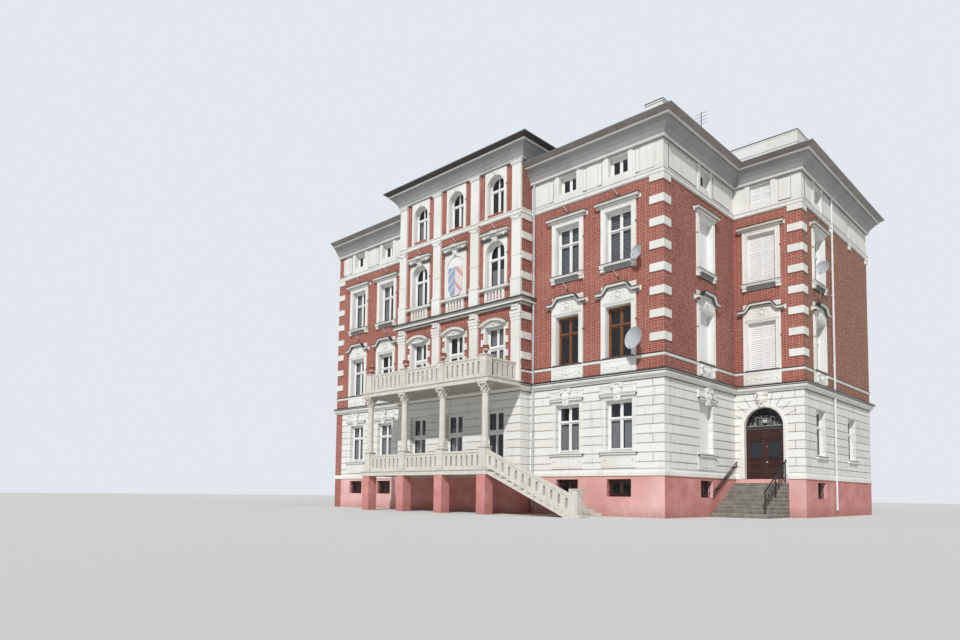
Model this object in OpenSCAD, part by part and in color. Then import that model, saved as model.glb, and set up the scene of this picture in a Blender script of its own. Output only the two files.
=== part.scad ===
// Town hall: a seven bay brick and stucco front with a raised centre block, a columned
// terrace with a balcony over it, and a side wing with an arched door.
// x runs along the front, y runs into the building, z is up from the ground.
// The origin is at the foot of the centre block's front wall, in the middle of its thickness.

/* [Plan] */
// Length of the seven bay front
front_w = 22000; // [21800:100:22600]
// Width of the centre block
centre_w = 8540; // [8400:10:8600]
// How far the centre block stands in front of the side parts
centre_proj = 720; // [650:10:800]
// Depth of the main house
depth = 16700; // [16000:100:17500]
// Width of the side wing
wing_w = 3050; // [3000:10:3200]
// Distance of the side wing behind the front
wing_back = 6600; // [6400:50:6800]
// Thickness of the outer walls
wall_t = 600; // [560:10:640]

/* [Levels] */
// Height of the plinth
plinth_h = 1670; // [1640:10:1690]
// Height of the ground storey
ground_h = 4210; // [4180:10:4260]
// Height of the first storey
first_h = 3910; // [3880:10:3960]
// Height of the second storey
second_h = 4010; // [3980:10:4060]
// Height of the frieze
frieze_h = 1400; // [1380:10:1440]
// Height of the main cornice with its gutter
cornice_h = 850; // [840:10:880]
// Height of the centre block's eaves above the main eaves
centre_rise = 1060; // [1020:10:1120]
// Height of the sill string above the ground storey
sill_up = 660; // [640:10:680]
// Thickness of a floor
floor_t = 300; // [250:10:350]

/* [Bays] */
// Half the distance between the two windows of a side part
bay_half = 1300; // [1280:5:1340]
// Distance between the window axes of the centre block
centre_bay = 2670; // [2640:10:2700]
// Distance of the return wall's window axis behind the front
return_axis = 3650; // [3600:10:3700]
// Distance of the side door's axis from the main house
door_axis = 1275; // [1260:5:1290]
// Distance of the first window axis of the wing's side behind the wing's front
side_axis = 2100; // [2050:10:2150]
// Distance from the first to the second window axis of the wing's side
side_axis_step = 4700; // [4600:50:4800]

/* [Windows] */
// Width of a ground storey window
ground_win_w = 1250; // [1200:10:1280]
// Height of a ground storey window
ground_win_h = 2100; // [2060:10:2120]
// Height of the ground storey sills above the plinth
ground_sill = 1030; // [1020:10:1060]
// Width of a first storey window
first_win_w = 1240; // [1200:10:1270]
// Height of a first storey window
first_win_h = 2190; // [2160:10:2210]
// Height of the first storey sills above the sill string
first_sill = 15; // [10:5:40]
// Width of a second storey window
second_win_w = 1260; // [1220:10:1290]
// Height of a second storey window
second_win_h = 2240; // [2210:10:2250]
// Height of the second storey sills above that storey's floor
second_sill = 730; // [720:10:760]
// Width of an attic window
attic_win_w = 950; // [900:10:980]
// Height of an attic window
attic_win_h = 780; // [740:10:790]
// Height of the attic sills above the foot of the frieze
attic_sill = 530; // [510:10:550]
// Width of a cellar window
cellar_win_w = 1150; // [1100:10:1200]
// Height of a cellar window
cellar_win_h = 720; // [700:10:740]
// Sill height of the cellar windows
cellar_win_z = 820; // [800:10:840]
// Width of the arched windows at the top of the centre block
top_win_w = 1050; // [1000:10:1080]
// Height of the arched windows at the top of the centre block
top_win_h = 1830; // [1800:10:1860]
// Height of the sills of the arched windows above the foot of the frieze
top_sill = 380; // [360:10:400]
// Width of the centre block's other windows
centre_win_w = 1200; // [1160:10:1240]
// Height of the tall windows on the terrace
terrace_win_h = 2820; // [2780:10:2860]
// Height of the tall windows on the balcony
balcony_win_h = 2790; // [2740:10:2820]
// Depth of the window reveals outside the frames
reveal = 220; // [190:10:250]
// Depth of a window frame
frame_t = 70; // [60:2:80]
// Width of a window frame's members
frame_w = 75; // [70:1:85]
// Width of the bars across a window
bar_w = 60; // [50:1:70]
// Thickness of the glazing
glass_t = 24; // [20:1:28]

/* [Door] */
// Width of the side doorway
door_w = 1750; // [1720:10:1780]
// Height of the doorway arch's springing above its sill
door_spring = 2350; // [2330:10:2380]
// Height of a door leaf
leaf_h = 2190; // [2150:10:2200]
// Thickness of a door leaf
leaf_t = 60; // [55:1:65]
// Width of the door frame
door_frame_w = 60; // [55:1:70]
// Gap between a door leaf and what is beside it
leaf_gap = 9; // [8:0.5:11]
// Depth of the doorway outside the door
door_reveal = 230; // [200:10:250]
// Radius of a hinge barrel
barrel_r = 10; // [9:0.5:11]
// Length of one knuckle of a hinge
knuckle_h = 60; // [50:1:70]

/* [Portico] */
// Distance of the column axes in front of the centre block
column_out = 2030; // [2000:10:2060]
// Diameter of a column at its foot
column_d = 300; // [280:10:340]
// Width of a balustrade pier
pier_w = 380; // [360:5:400]
// Thickness of the terrace and of the balcony floor
slab_t = 250; // [240:5:260]
// Height of the terrace balustrade
terrace_rail_h = 800; // [780:10:820]
// Height of the balcony balustrade
balcony_rail_h = 900; // [880:10:920]
// Thickness of a balustrade panel
panel_t = 160; // [150:5:180]

/* [Steps] */
// Going of a step of the stair beside the terrace
stair_going = 350; // [330:5:360]
// Going of a side step
step_going = 290; // [280:5:300]
// Width of the side steps
side_steps_w = 2350; // [2300:10:2400]

/* [Mouldings] */
// Projection of the roof edge
eaves_out = 760; // [740:10:780]
// Projection of the ground storey cornice
ground_out = 220; // [200:5:240]
// Projection of a corner stone
quoin_out = 50; // [40:5:60]
// Projection of a pilaster
pilaster_out = 100; // [90:5:120]
// Width of a pilaster
pilaster_w = 530; // [520:10:560]
// Height of a course of the ground storey's banded stucco
course_h = 373; // [370:1:376]

/* [Hidden] */
brick = "#b4583f";
stucco = "#ecebe4";
rose = "#c9837a";
sandstone = "#d3cfc0";
metal = "#55585a";
white = "#f1f1ee";
oak = "#5a2b21";
glazing = "#33404d";
// Levels from the ground up
ground_top = plinth_h + ground_h;
sill_top = ground_top + sill_up;
second_base = ground_top + first_h;
frieze_base = second_base + second_h;
frieze_top = frieze_base + frieze_h;
eaves_z = frieze_top + cornice_h;
first_floor_z = ground_top + 60;
second_floor_z = second_base + 60;
attic_floor_z = frieze_base - 50;
ground_win_z = plinth_h + ground_sill;
first_win_z = sill_top + first_sill;
second_win_z = second_floor_z + second_sill;
attic_win_z = frieze_base + attic_sill;
top_win_z = frieze_base + top_sill;
terrace_base = plinth_h + 30;
balcony_base = ground_top - 190;
// Main lines of the plan
x_front = front_w / 2;
x_centre = centre_w / 2;
x_wing = x_front + wing_w;
y_centre = -wall_t / 2;
y_front = y_centre + centre_proj;
y_wing = y_front + wing_back;
y_back = y_front + depth;
side_mid = (x_centre + x_front) / 2;
x_door = x_front + door_axis;
centre_eaves = eaves_z + centre_rise;
terrace_z = terrace_base + slab_t;
balcony_z = balcony_base + slab_t;
balcony_win_z = first_floor_z + 10;
// A cut goes this far past the faces that it cuts
cut = 10;

// A box between two corners of the plan and two levels
module slab(x0, x1, y0, y1, z0, z1)
    translate([x0, y0, z0]) cube([x1 - x0, y1 - y0, z1 - z0]);
// A box on a wall's face, which stands out from it
module plate(x0, x1, z0, z1, out) translate([x0, -out, z0]) cube([x1 - x0, out, z1 - z0]);
module both() for (s = [0, 1]) mirror([s, 0, 0]) children();

// Puts what it holds on a wall's face: local x runs to the right and y into the wall
module on_front(x, y = y_front) translate([x, y, 0]) children();
module on_right(y, x) translate([x, y, 0]) rotate([0, 0, 90]) children();
module on_back(x) translate([x, y_back, 0]) rotate([0, 0, 180]) children();

front_axes = [for (s = [-1, 1]) for (b = [-1, 1]) s * side_mid + b * bay_half];
centre_axes = [for (i = [-1, 0, 1]) i * centre_bay];
back_axes = concat(front_axes, centre_axes);
module at_front() for (x = front_axes) on_front(x) children();
module at_centre(axes = centre_axes) for (x = axes) on_front(x, y_centre) children();
module at_return() on_right(y_front + return_axis, x_front) children();
module at_wing() on_front(x_door, y_wing) children();
module at_side(last = 0) for (n = [0:last])
    on_right(y_wing + side_axis + n * side_axis_step, x_wing) children();
module at_right_parts() {
    at_return() children();
    at_wing() children();
    at_side() children();
}
module at_back() for (x = back_axes) on_back(x) children();

// An opening through a wall and what stands out ahead of it, with a round head where arch is true
ahead = 300;
module hole(w, z, h, arch = false, grow = 0) {
    straight = arch ? h - w / 2 : h;
    through = ahead + wall_t + cut;
    translate([-w / 2 - grow, -ahead, z - grow])
        cube([w + 2 * grow, through, straight + (arch ? grow : 2 * grow)]);
    if (arch) translate([0, -ahead, z + straight]) rotate([-90, 0, 0])
        cylinder(d = w + 2 * grow, h = through, $fn = 64);
}

// Plain walls between two levels
module walls_front(z0, z1) {
    slab(x_centre, x_front, y_front, y_front + wall_t, z0, z1);
    slab(wall_t - x_front, -x_centre, y_front, y_front + wall_t, z0, z1);
}
module walls_centre(z0, z1) {
    slab(-x_centre, x_centre, y_centre, y_centre + wall_t, z0, z1);
    both() slab(x_centre - wall_t, x_centre, y_centre, y_front + wall_t, z0, z1);
}
module wall_return(z0, z1)
    slab(x_front - wall_t, x_front, y_front + wall_t, y_wing + wall_t, z0, z1);
module wall_side(z0, z1) slab(x_wing - wall_t, x_wing, y_wing + wall_t, y_back - wall_t, z0, z1);
module wall_wing(z0, z1) slab(x_front, x_wing, y_wing, y_wing + wall_t, z0, z1);
module wall_back(z0, z1) slab(wall_t - x_front, x_wing, y_back - wall_t, y_back, z0, z1);

// The plinth along the front and the back, with the piers that carry the terrace
module plinth_walls() color(rose) {
    difference() {
        union() {
            walls_front(0, plinth_h);
            walls_centre(0, plinth_h);
            wall_wing(0, plinth_h);
            wall_back(0, plinth_h);
        }
        at_front() hole(cellar_win_w, cellar_win_z, cellar_win_h);
        at_back() hole(cellar_win_w, cellar_win_z, cellar_win_h);
        // the centre block's masonry meets the side parts' in a hairline joint
        both() slab(x_centre, x_centre + run_joint, y_front - cut, y_front + wall_t + cut,
                    -cut, plinth_h + cut);
    }
    for (x = column_axes) slab(x - terrace_pier_w / 2, x + terrace_pier_w / 2,
                               y_column - terrace_pier_w / 2, y_column + terrace_pier_w / 2,
                               0, terrace_base);
}
module plinth_side_walls() color(rose) difference() {
    union() {
        wall_return(0, plinth_h);
        wall_side(0, plinth_h);
    }
    at_return() hole(cellar_win_w, cellar_win_z, cellar_win_h);
    at_side() hole(cellar_win_w, cellar_win_z, cellar_win_h);
}

// The ground storey's banded stucco: sunk joints between the courses
joint_h = 50;
joint_in = 35;
jamb_w = 210;
corner_w = 750;
base_joints = [plinth_h + 250];
joint_zs = concat(base_joints, [for (i = [0:8]) plinth_h + 530 + i * course_h]);
module joints(x0, x1, h = joint_h, in = joint_in) for (z = joint_zs)
    translate([x0, -cut, z]) cube([x1 - x0, cut + in, h]);
module ground_wall_front() color(stucco) difference() {
    walls_front(plinth_h, ground_top);
    at_front() hole(ground_win_w, ground_win_z, ground_win_h);
    difference() {
        both() on_front(0) joints(x_centre, x_front + cut);
        at_front() hole(ground_win_w, ground_win_z, ground_win_h, grow = jamb_w);
    }
}
module ground_wall_centre() color(stucco) difference() {
    walls_centre(plinth_h, ground_top);
    at_centre() hole(centre_win_w, terrace_z, terrace_win_h);
    difference() {
        on_front(0, y_centre) joints(-x_centre, x_centre);
        at_centre() hole(centre_win_w, terrace_z, terrace_win_h, grow = jamb_w);
    }
}
module ground_wall_side() color(stucco) difference() {
    union() {
        wall_return(plinth_h, ground_top);
        wall_side(plinth_h, ground_top);
    }
    at_return() hole(ground_win_w, ground_win_z, ground_win_h);
    at_side(1) hole(ground_win_w, ground_win_z, ground_win_h);
    difference() {
        union() {
            on_right(y_front, x_front) joints(0, wing_back);
            on_right(y_wing, x_wing) {
                joints(0, corner_w);
                joints(corner_w, y_back - y_wing, 14, 8);
            }
        }
        at_return() hole(ground_win_w, ground_win_z, ground_win_h, grow = jamb_w);
        at_side(1) hole(ground_win_w, ground_win_z, ground_win_h, grow = jamb_w);
    }
}
module ground_wall_back() color(stucco) difference() {
    wall_back(plinth_h, ground_top);
    at_back() hole(ground_win_w, ground_win_z, ground_win_h);
}
door_spring_z = plinth_h + door_spring;
door_arch_r = door_w / 2;
module doorway(r, z0, d) {
    translate([0, -cut, door_spring_z]) rotate([-90, 0, 0]) cylinder(r = r, h = d, $fn = 96);
    translate([-r, -cut, z0]) cube([2 * r, d, door_spring_z - z0]);
}
module door_wall(z0, z1) difference() {
    wall_wing(z0, z1);
    at_wing() doorway(door_arch_r, plinth_h - cut, wall_t + 2 * cut);
    difference() {
        on_front(0, y_wing) joints(x_front, x_wing + cut);
        at_wing() doorway(door_arch_r + jamb_w, plinth_h - cut, wall_t);
    }
}
module door_wall_piers() color(stucco) door_wall(plinth_h, door_spring_z);
module door_wall_arch() color(stucco) door_wall(door_spring_z, ground_top);

module brick_wall_front() color(brick) difference() {
    union() {
        walls_front(ground_top, frieze_base);
        wall_wing(ground_top, frieze_base);
    }
    at_front() hole(first_win_w, first_win_z, first_win_h);
    at_front() hole(second_win_w, second_win_z, second_win_h);
    at_wing() hole(first_win_w, first_win_z, first_win_h);
    at_wing() hole(second_win_w, second_win_z, second_win_h);
}
module brick_wall_centre() color(brick) difference() {
    walls_centre(ground_top, frieze_base);
    at_centre() hole(centre_win_w, balcony_win_z, balcony_win_h);
    at_centre(side_axes) hole(centre_win_w, second_win_z, second_win_h, true);
}
module brick_wall_side() color(brick) difference() {
    union() {
        wall_return(ground_top, frieze_base);
        wall_side(ground_top, frieze_base);
    }
    at_return() hole(first_win_w, first_win_z, first_win_h);
    at_return() hole(second_win_w, second_win_z, second_win_h);
    at_side() hole(first_win_w, first_win_z, first_win_h);
    at_side() hole(second_win_w, second_win_z, second_win_h);
}
module brick_wall_back() color(brick) difference() {
    wall_back(ground_top, frieze_base);
    at_back() hole(first_win_w, first_win_z, first_win_h);
    at_back() hole(second_win_w, second_win_z, second_win_h);
}
module party_wall() color(brick) {
    slab(-x_front, wall_t - x_front, y_front, y_back, 0, eaves_z);
    intersection() {
        under_roof();
        slab(-x_front, wall_t - x_front, y_front, y_back, eaves_z, roof_z);
    }
}

// The frieze: raised strips beside the windows and raised panels between them
strip_w = 220;
strip_out = 45;
panel_out = 22;
frieze_foot = frieze_base + 190;
module frieze_strips() for (s = [-1, 1])
    plate(s * (attic_win_w + strip_w) / 2 - strip_w / 2, s * (attic_win_w + strip_w) / 2 + strip_w / 2,
          frieze_foot, frieze_top, strip_out);
module frieze_panel(x0, x1) plate(x0, x1, frieze_foot + 130, frieze_top - 110, panel_out);
side_clear = attic_win_w / 2 + strip_w + 120;
end_clear = 420;
module frieze_walls() color(white) difference() {
    union() {
        walls_front(frieze_base, eaves_z);
        wall_wing(frieze_base, eaves_z);
        wall_back(frieze_base, eaves_z);
        at_front() frieze_strips();
        at_wing() frieze_strips();
        both() on_front(0) {
            frieze_panel(x_centre + 120, side_mid - bay_half - side_clear);
            frieze_panel(side_mid - bay_half + side_clear, side_mid + bay_half - side_clear);
            frieze_panel(side_mid + bay_half + side_clear, x_front - end_clear);
        }
        on_front(x_front, y_wing) frieze_panel(door_axis + side_clear, wing_w - end_clear);
    }
    at_front() hole(attic_win_w, attic_win_z, attic_win_h);
    at_wing() hole(attic_win_w, attic_win_z, attic_win_h);
    at_back() hole(attic_win_w, attic_win_z, attic_win_h);
}
module frieze_side_walls() color(white) difference() {
    union() {
        wall_return(frieze_base, eaves_z);
        wall_side(frieze_base, eaves_z);
        at_return() frieze_strips();
        at_side() frieze_strips();
        on_right(y_front, x_front) {
            frieze_panel(end_clear, return_axis - side_clear);
            frieze_panel(return_axis + side_clear, wing_back - end_clear);
        }
        on_right(y_wing, x_wing) {
            frieze_panel(end_clear, side_axis - side_clear);
            frieze_panel(side_axis + side_clear, side_axis + side_axis_step - strip_w);
            frieze_panel(side_axis + side_axis_step + strip_w, depth - wing_back - end_clear);
        }
    }
    at_return() hole(attic_win_w, attic_win_z, attic_win_h);
    at_side() hole(attic_win_w, attic_win_z, attic_win_h);
}
y_centre_back = y_front + 2 * wall_t;
module centre_attic_walls() color(brick) difference() {
    union() {
        walls_centre(frieze_base, centre_eaves);
        // over the main eaves the block closes with a wall of its own
        slab(-x_centre, x_centre, y_front + wall_t, y_centre_back, eaves_z, centre_eaves);
    }
    at_centre() hole(top_win_w, top_win_z, top_win_h, true);
}

module floors() color("tan") for (z = [plinth_h, first_floor_z, second_floor_z, attic_floor_z]) {
    slab(wall_t - x_front, x_front - wall_t, y_front + wall_t, y_back - wall_t, z - floor_t, z);
    slab(0, x_wing - wall_t, y_wing + wall_t, y_back - wall_t, z - floor_t, z);
    slab(wall_t - x_centre, x_centre - wall_t, y_centre + wall_t, y_back - wall_t, z - floor_t, z);
}

// A moulded block: the profile is a list of [projection, height] pairs from its foot up
function up(prof, a, s) = [for (p = prof) [a + s * p[0], p[1]]];
function down(prof, a, s) = [for (i = [len(prof) - 1:-1:0]) [a + s * prof[i][0], prof[i][1]]];
function raised(prof, dz) = [for (p = prof) [p[0], p[1] + dz]];
module moulded(x0, x1, y0, y1, prof) {
    far = 2 * eaves_out;
    intersection() {
        translate([x0 - far, 0, 0]) rotate([90, 0, 90]) linear_extrude(x1 - x0 + 2 * far)
            polygon(concat(up(prof, y0, -1), down(prof, y1, 1)));
        translate([0, y1 + far, 0]) rotate([90, 0, 0]) linear_extrude(y1 - y0 + 2 * far)
            polygon(concat(up(prof, x0, -1), down(prof, x1, 1)));
    }
}
// A run of moulding ends in a hairline joint where the next one meets it round a corner
run_joint = 1;
function reach(prof) = max([for (p = prof) p[0]]);
module joint_at(x, y, out, low, high) slab(x, x + out + cut, y, y + run_joint, low, high);
// The profile round the main house and the side wing, and round the centre block if wanted
module ring(prof, centre = true) difference() {
    out = reach(prof);
    low = prof[0][1] - cut;
    high = prof[len(prof) - 1][1] + cut;
    union() {
        moulded(-x_front, x_front, y_front, y_back, prof);
        moulded(0, x_wing, y_wing, y_back, prof);
        if (centre) moulded(-x_centre, x_centre, y_centre, y_front + wall_t, prof);
    }
    slab(-x_front, x_front, y_front, y_back, low, high);
    slab(0, x_wing, y_wing, y_back, low, high);
    if (centre) slab(-x_centre, x_centre, y_centre, y_front + cut, low, high);
    else slab(-x_centre, x_centre, y_front - 3 * eaves_out, y_front + cut, low, high);
    // the row of houses goes on at the left, so nothing passes the party wall
    slab(-x_front - 3 * eaves_out, -x_front, y_front - 3 * eaves_out, y_back + 3 * eaves_out, low, high);
    joint_at(x_front, y_front, out, low, high);
    joint_at(x_front, y_wing - out - run_joint, out, low, high);
    joint_at(x_wing, y_wing, out, low, high);
    joint_at(x_wing, y_back - run_joint, out, low, high);
    if (centre) both() {
        joint_at(x_centre, y_centre, out, low, high);
        joint_at(x_centre, y_front - out - run_joint, out, low, high);
    }
}
// The profile round the centre block alone, as far back as a given line
module centre_ring(prof, y_end = y_centre_back) difference() {
    out = reach(prof);
    low = prof[0][1] - cut;
    high = prof[len(prof) - 1][1] + cut;
    moulded(-x_centre, x_centre, y_centre, y_end, prof);
    slab(-x_centre, x_centre, y_centre, y_end, low, high);
    both() joint_at(x_centre, y_centre, out, low, high);
    both() joint_at(x_centre, y_end - run_joint, out, low, high);
}
cornice_foot = ground_top - 330;
// from its foot up: a bed moulding, a band, an undercut and the top band
band_in = ground_out - 50;
ground_cornice = [[0, cornice_foot], [60, cornice_foot], [60, cornice_foot + 90],
                  [90, cornice_foot + 120], [band_in, cornice_foot + 120], [band_in, cornice_foot + 215],
                  [band_in - 40, cornice_foot + 235], [ground_out, cornice_foot + 250],
                  [ground_out, ground_top], [0, ground_top]];
sill_foot = sill_top - 95;
string_out = 45;
sill_string = [[0, sill_foot], [string_out, sill_foot], [string_out, sill_top], [0, sill_top]];
frieze_string = [[0, frieze_base], [70, frieze_base], [70, frieze_foot], [0, frieze_foot]];
pipe_d = 100;
pipe_out = 80;
pipe_x = x_centre + 200;
side_pipe = side_axis + 1830;
module at_pipes() {
    both() on_front(pipe_x) children();
    on_right(y_wing + side_pipe, x_wing) children();
}
module pipe_notch() translate([-pipe_d / 2 - 2, -ground_out - cut, 0])
    cube([pipe_d + 4, ground_out + cut, frieze_top]);
module string_courses() color(white) difference() {
    union() {
        ring(ground_cornice);
        ring(sill_string);
        ring(frieze_string);
        difference() {
            centre_ring(centre_cornice);
            slab(-x_front, x_front, y_front, y_back, ground_top, frieze_base);
        }
    }
    at_centre() hole(centre_win_w, balcony_win_z, balcony_win_h, grow = centre_strip_w);
    at_centre(pilaster_axes) pilaster_foot();
    at_pipes() pipe_notch();
}
gutter_z = eaves_z - 180;
cornice = [[0, frieze_top], [80, frieze_top], [120, frieze_top + 30], [120, frieze_top + 130],
           [220, frieze_top + 300], [450, gutter_z - 70], [500, gutter_z - 70], [500, gutter_z],
           [0, gutter_z]];
gutter = [[0, gutter_z], [500, gutter_z], [eaves_out, eaves_z], [0, eaves_z]];
module main_cornice() color(white) {
    ring(cornice, false);
    centre_ring(raised(cornice, centre_rise));
}
module gutters() color(metal) {
    ring(gutter, false);
    centre_ring(raised(gutter, centre_rise));
}

// The low hipped roof: a boarded shell with metal sheet, nearly flat behind the eaves
roof_rise = 1150;
eaves_flat = 1400;
roof_skin = 180;
roof_slope = (roof_rise - 150) / (depth / 2 - eaves_flat);
module hip(x0, x1, y0, y1, z, edge) {
    run = min(x1 - x0, y1 - y0) / 2 - 200;
    moulded(x0, x1, y0, y1, [[edge, z], [edge, z + 40], [-eaves_flat, z + 150],
                             [-run, z + 150 + (run - eaves_flat) * roof_slope]]);
}
module hips(z, edge) {
    hip(-x_front - depth, x_front, y_front, y_back, z, edge);
    hip(x_front - depth, x_wing, y_wing, y_back, z, edge);
}
roof_z = eaves_z + 2 * roof_rise;
module under_roof() intersection() {
    hips(eaves_z - roof_skin, 0);
    union() {
        slab(-x_front - cut, x_front - wall_t, y_front + wall_t, y_back - wall_t, eaves_z - cut, roof_z);
        slab(0, x_wing - wall_t, y_wing + wall_t, y_back - wall_t, eaves_z - cut, roof_z);
    }
}
module roof_shell() difference() {
    hips(eaves_z, eaves_out);
    under_roof();
    slab(-x_front - 2 * depth, -x_front, y_front - depth, y_back + depth, 0, roof_z);
    slab(-x_centre, x_centre, y_front - depth, y_centre_back, 0, roof_z);
}
module roof() color(metal) {
    roof_shell();
    moulded(-x_centre, x_centre, y_centre, y_centre_back,
            [[eaves_out, centre_eaves], [eaves_out, centre_eaves + 40], [-600, centre_eaves + 180]]);
}

// Raised stucco walls with a coping over the wing, and a chimney stack
parapet_in = 350;
parapet_left = 600;
parapet_t = 250;
parapet_h = 1450;
coping_h = 90;
coping_out = 40;
chimney_w = 820;
chimney_d = 700;
chimney_h = 2170;
chimney_x = x_front - 1580;
chimney_y = y_front + 2480;
band_h = 480;
band_out = 25;
module stack(x0, x1, y0, y1, top, band = 0) {
    slab(x0, x1, y0, y1, eaves_z, top - coping_h);
    if (band > 0) slab(x0 - band_out, x1 + band_out, y0 - band_out, y1 + band_out,
                       top - coping_h - band, top - coping_h);
    slab(x0 - coping_out, x1 + coping_out, y0 - coping_out, y1 + coping_out, top - coping_h, top);
}
module roof_parapets() color(white) difference() {
    union() {
        stack(x_front - parapet_left, x_wing - parapet_in, y_wing + 2 * parapet_in,
              y_back - 2 * parapet_in, eaves_z + parapet_h, band_h);
        stack(chimney_x - chimney_w / 2, chimney_x + chimney_w / 2, chimney_y - chimney_d / 2,
              chimney_y + chimney_d / 2, eaves_z + chimney_h);
    }
    slab(x_front - parapet_left + parapet_t, x_wing - parapet_in - parapet_t,
         y_wing + 2 * parapet_in + parapet_t, y_back - 2 * parapet_in - parapet_t,
         0, eaves_z + parapet_h - coping_h);
    hips(eaves_z, eaves_out);
}

// Corner stones: equal blocks that wrap round the corners of the brick storeys
quoin_w = 600;
quoin_side = 550;
quoin_h = 320;
quoin_step = 928;
quoin_z = sill_top + 480;
quoin_count = 7;
module corner_stones(x, y) for (i = [0:quoin_count]) {
    z = quoin_z + i * quoin_step;
    top = min(z + quoin_h, frieze_base);
    slab(x - quoin_w, x + quoin_out, y - quoin_out, y, z, top);
    slab(x, x + quoin_out, y - quoin_out, y + quoin_side, z, top);
}
return_stone_out = 40;
module quoins() color(white) {
    corner_stones(x_front, y_front);
    corner_stones(x_wing, y_wing);
    for (i = [0:quoin_count]) {
        z = quoin_z + i * quoin_step;
        top = min(z + quoin_h, frieze_base);
        slab(-x_front, quoin_w - x_front, y_front - quoin_out, y_front, z, top);
        // stones on the centre block's returns, cut short by its own cornice
        foot = z < centre_cornice_z ? z : max(z, centre_cornice_z + centre_cornice_h);
        both() slab(x_centre, x_centre + return_stone_out, y_centre, y_front, foot, top);
    }
}

// Pilasters of the centre block and the cornice between its storeys
centre_cornice_z = second_base - 290;
centre_cornice_h = 330;
centre_cornice_out = 320;
pilaster_axes = [for (i = [-1.5:1.5]) i * centre_bay];
foot_side = 35;
foot_h = 180;
foot_out = pilaster_out + 35;
// A length of pilaster, wider than its shaft by a given size at each side
module length_of(side, z0, z1, out) plate(-pilaster_w / 2 - side, pilaster_w / 2 + side, z0, z1, out);
module pilaster_foot() length_of(foot_side, balcony_z, sill_top, foot_out);
centre_cornice_top = centre_cornice_z + centre_cornice_h;
// The cornice from its foot up: a bed moulding, a band, an undercut and the top fillet
centre_band_out = centre_cornice_out - 60;
centre_band_z = centre_cornice_z + 100;
centre_cornice = [[0, centre_cornice_z], [60, centre_cornice_z], [60, centre_band_z],
                  [centre_band_out, centre_band_z], [centre_band_out, centre_band_z + 70],
                  [centre_band_out - 50, centre_band_z + 80], [centre_band_out - 50, centre_cornice_top - 50],
                  [centre_cornice_out, centre_cornice_top - 40], [centre_cornice_out, centre_cornice_top],
                  [0, centre_cornice_top]];
// First storey: three bands, each a little wider, and a console under the cornice
console_h = 250;
console_in = 60;
console_out = 160;
pilaster_band_h = 150;
band_step = 18;
module lower_pilaster() {
    length_of(0, sill_top, centre_cornice_z, pilaster_out);
    length_of(foot_side, sill_top, sill_top + foot_h, foot_out);
    for (i = [1:3]) length_of(i * band_step, centre_cornice_z - console_h - (4 - i) * pilaster_band_h,
                              centre_cornice_z - console_h - (3 - i) * pilaster_band_h - band_step,
                              pilaster_out + i * band_step);
    length_of(-console_in, centre_cornice_z - console_h, centre_cornice_z, console_out);
}
// Second storey: a pedestal as high as the sills, a ring half way up and a capital
pedestal_h = 960;
pedestal_cap = 70;
ring_z = second_win_z + 1250;
ring_h = 45;
capital_h = 280;
abacus_out = 60;
module upper_pilaster() {
    pedestal_z = centre_cornice_top + pedestal_h;
    length_of(0, pedestal_z, frieze_base, pilaster_out);
    length_of(foot_side, centre_cornice_top, pedestal_z, foot_out);
    length_of(foot_side + band_step, pedestal_z - pedestal_cap, pedestal_z, foot_out + band_step);
    length_of(band_step, pedestal_z, pedestal_z + pedestal_cap, pilaster_out + band_step);
    length_of(band_step, ring_z, ring_z + ring_h, pilaster_out + band_step);
    length_of(band_step, frieze_base - capital_h, frieze_base, pilaster_out + band_step);
    length_of(foot_side, frieze_base - pedestal_cap, frieze_base, pilaster_out + abacus_out);
}
module top_pilaster() {
    length_of(0, frieze_foot, frieze_top + centre_rise, pilaster_out);
    length_of(band_step, frieze_top + centre_rise - 2 * pedestal_cap, frieze_top + centre_rise,
              pilaster_out + band_step);
}
module pilasters() color(white) at_centre(pilaster_axes) {
    pilaster_foot();
    lower_pilaster();
    upper_pilaster();
    top_pilaster();
}

// Window surrounds: a strip of stucco beside each opening and a band over it
architrave_w = 220;
architrave_out = 60;
module jambs(w, z0, z1, strip = architrave_w) for (s = [-1, 1])
    plate(s * (w + strip) / 2 - strip / 2, s * (w + strip) / 2 + strip / 2, z0, z1, architrave_out);
module head(w, z0, z1, strip = architrave_w)
    plate(-w / 2 - strip, w / 2 + strip, z0, z1, architrave_out);
hood_w = 2050;
hood_out = 220;
hood_h = 100;
// The stucco field that a hood or a sill stands on, a little larger than the hood
field_out = 35;
field_side = 50;
// A flat hood with a moulding under it
moulding_h = 75;
moulding_in = 160;
module flat_hood(z, w) {
    plate(-w / 2 + moulding_in, w / 2 - moulding_in, z, z + moulding_h, architrave_out + 40);
    plate(-w / 2, w / 2, z + moulding_h, z + moulding_h + hood_h, hood_out);
}
// A curved hood: level ears and a raised middle between two S curves, on a filled field
ear_w = 270;
swell_w = 330;
hood_rise = 300;
swell_steps = 8;
function s_curve(t) = hood_rise * (1 - cos(180 * t)) / 2;
hood_half = concat([[-hood_w / 2, 0]], [for (i = [0:swell_steps])
    [-hood_w / 2 + ear_w + swell_w * i / swell_steps, s_curve(i / swell_steps)]]);
hood_line = concat(hood_half, [for (i = [len(hood_half) - 1:-1:0]) [-hood_half[i][0], hood_half[i][1]]]);
hood_line_back = [for (i = [len(hood_line) - 1:-1:0]) hood_line[i]];
module curved_hood(z) translate([0, 0, z]) rotate([90, 0, 0]) {
    linear_extrude(hood_out)
        polygon(concat(hood_line, [for (p = hood_line_back) [p[0], p[1] + hood_h]]));
    linear_extrude(architrave_out) polygon([for (i = [1:len(hood_line) - 2]) hood_line[i]]);
}
sill_out = 130;
bracket_x = 125;
bracket_w = 180;
bracket_h = 220;
sill_h = 110;
sill_over = 240;
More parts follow.
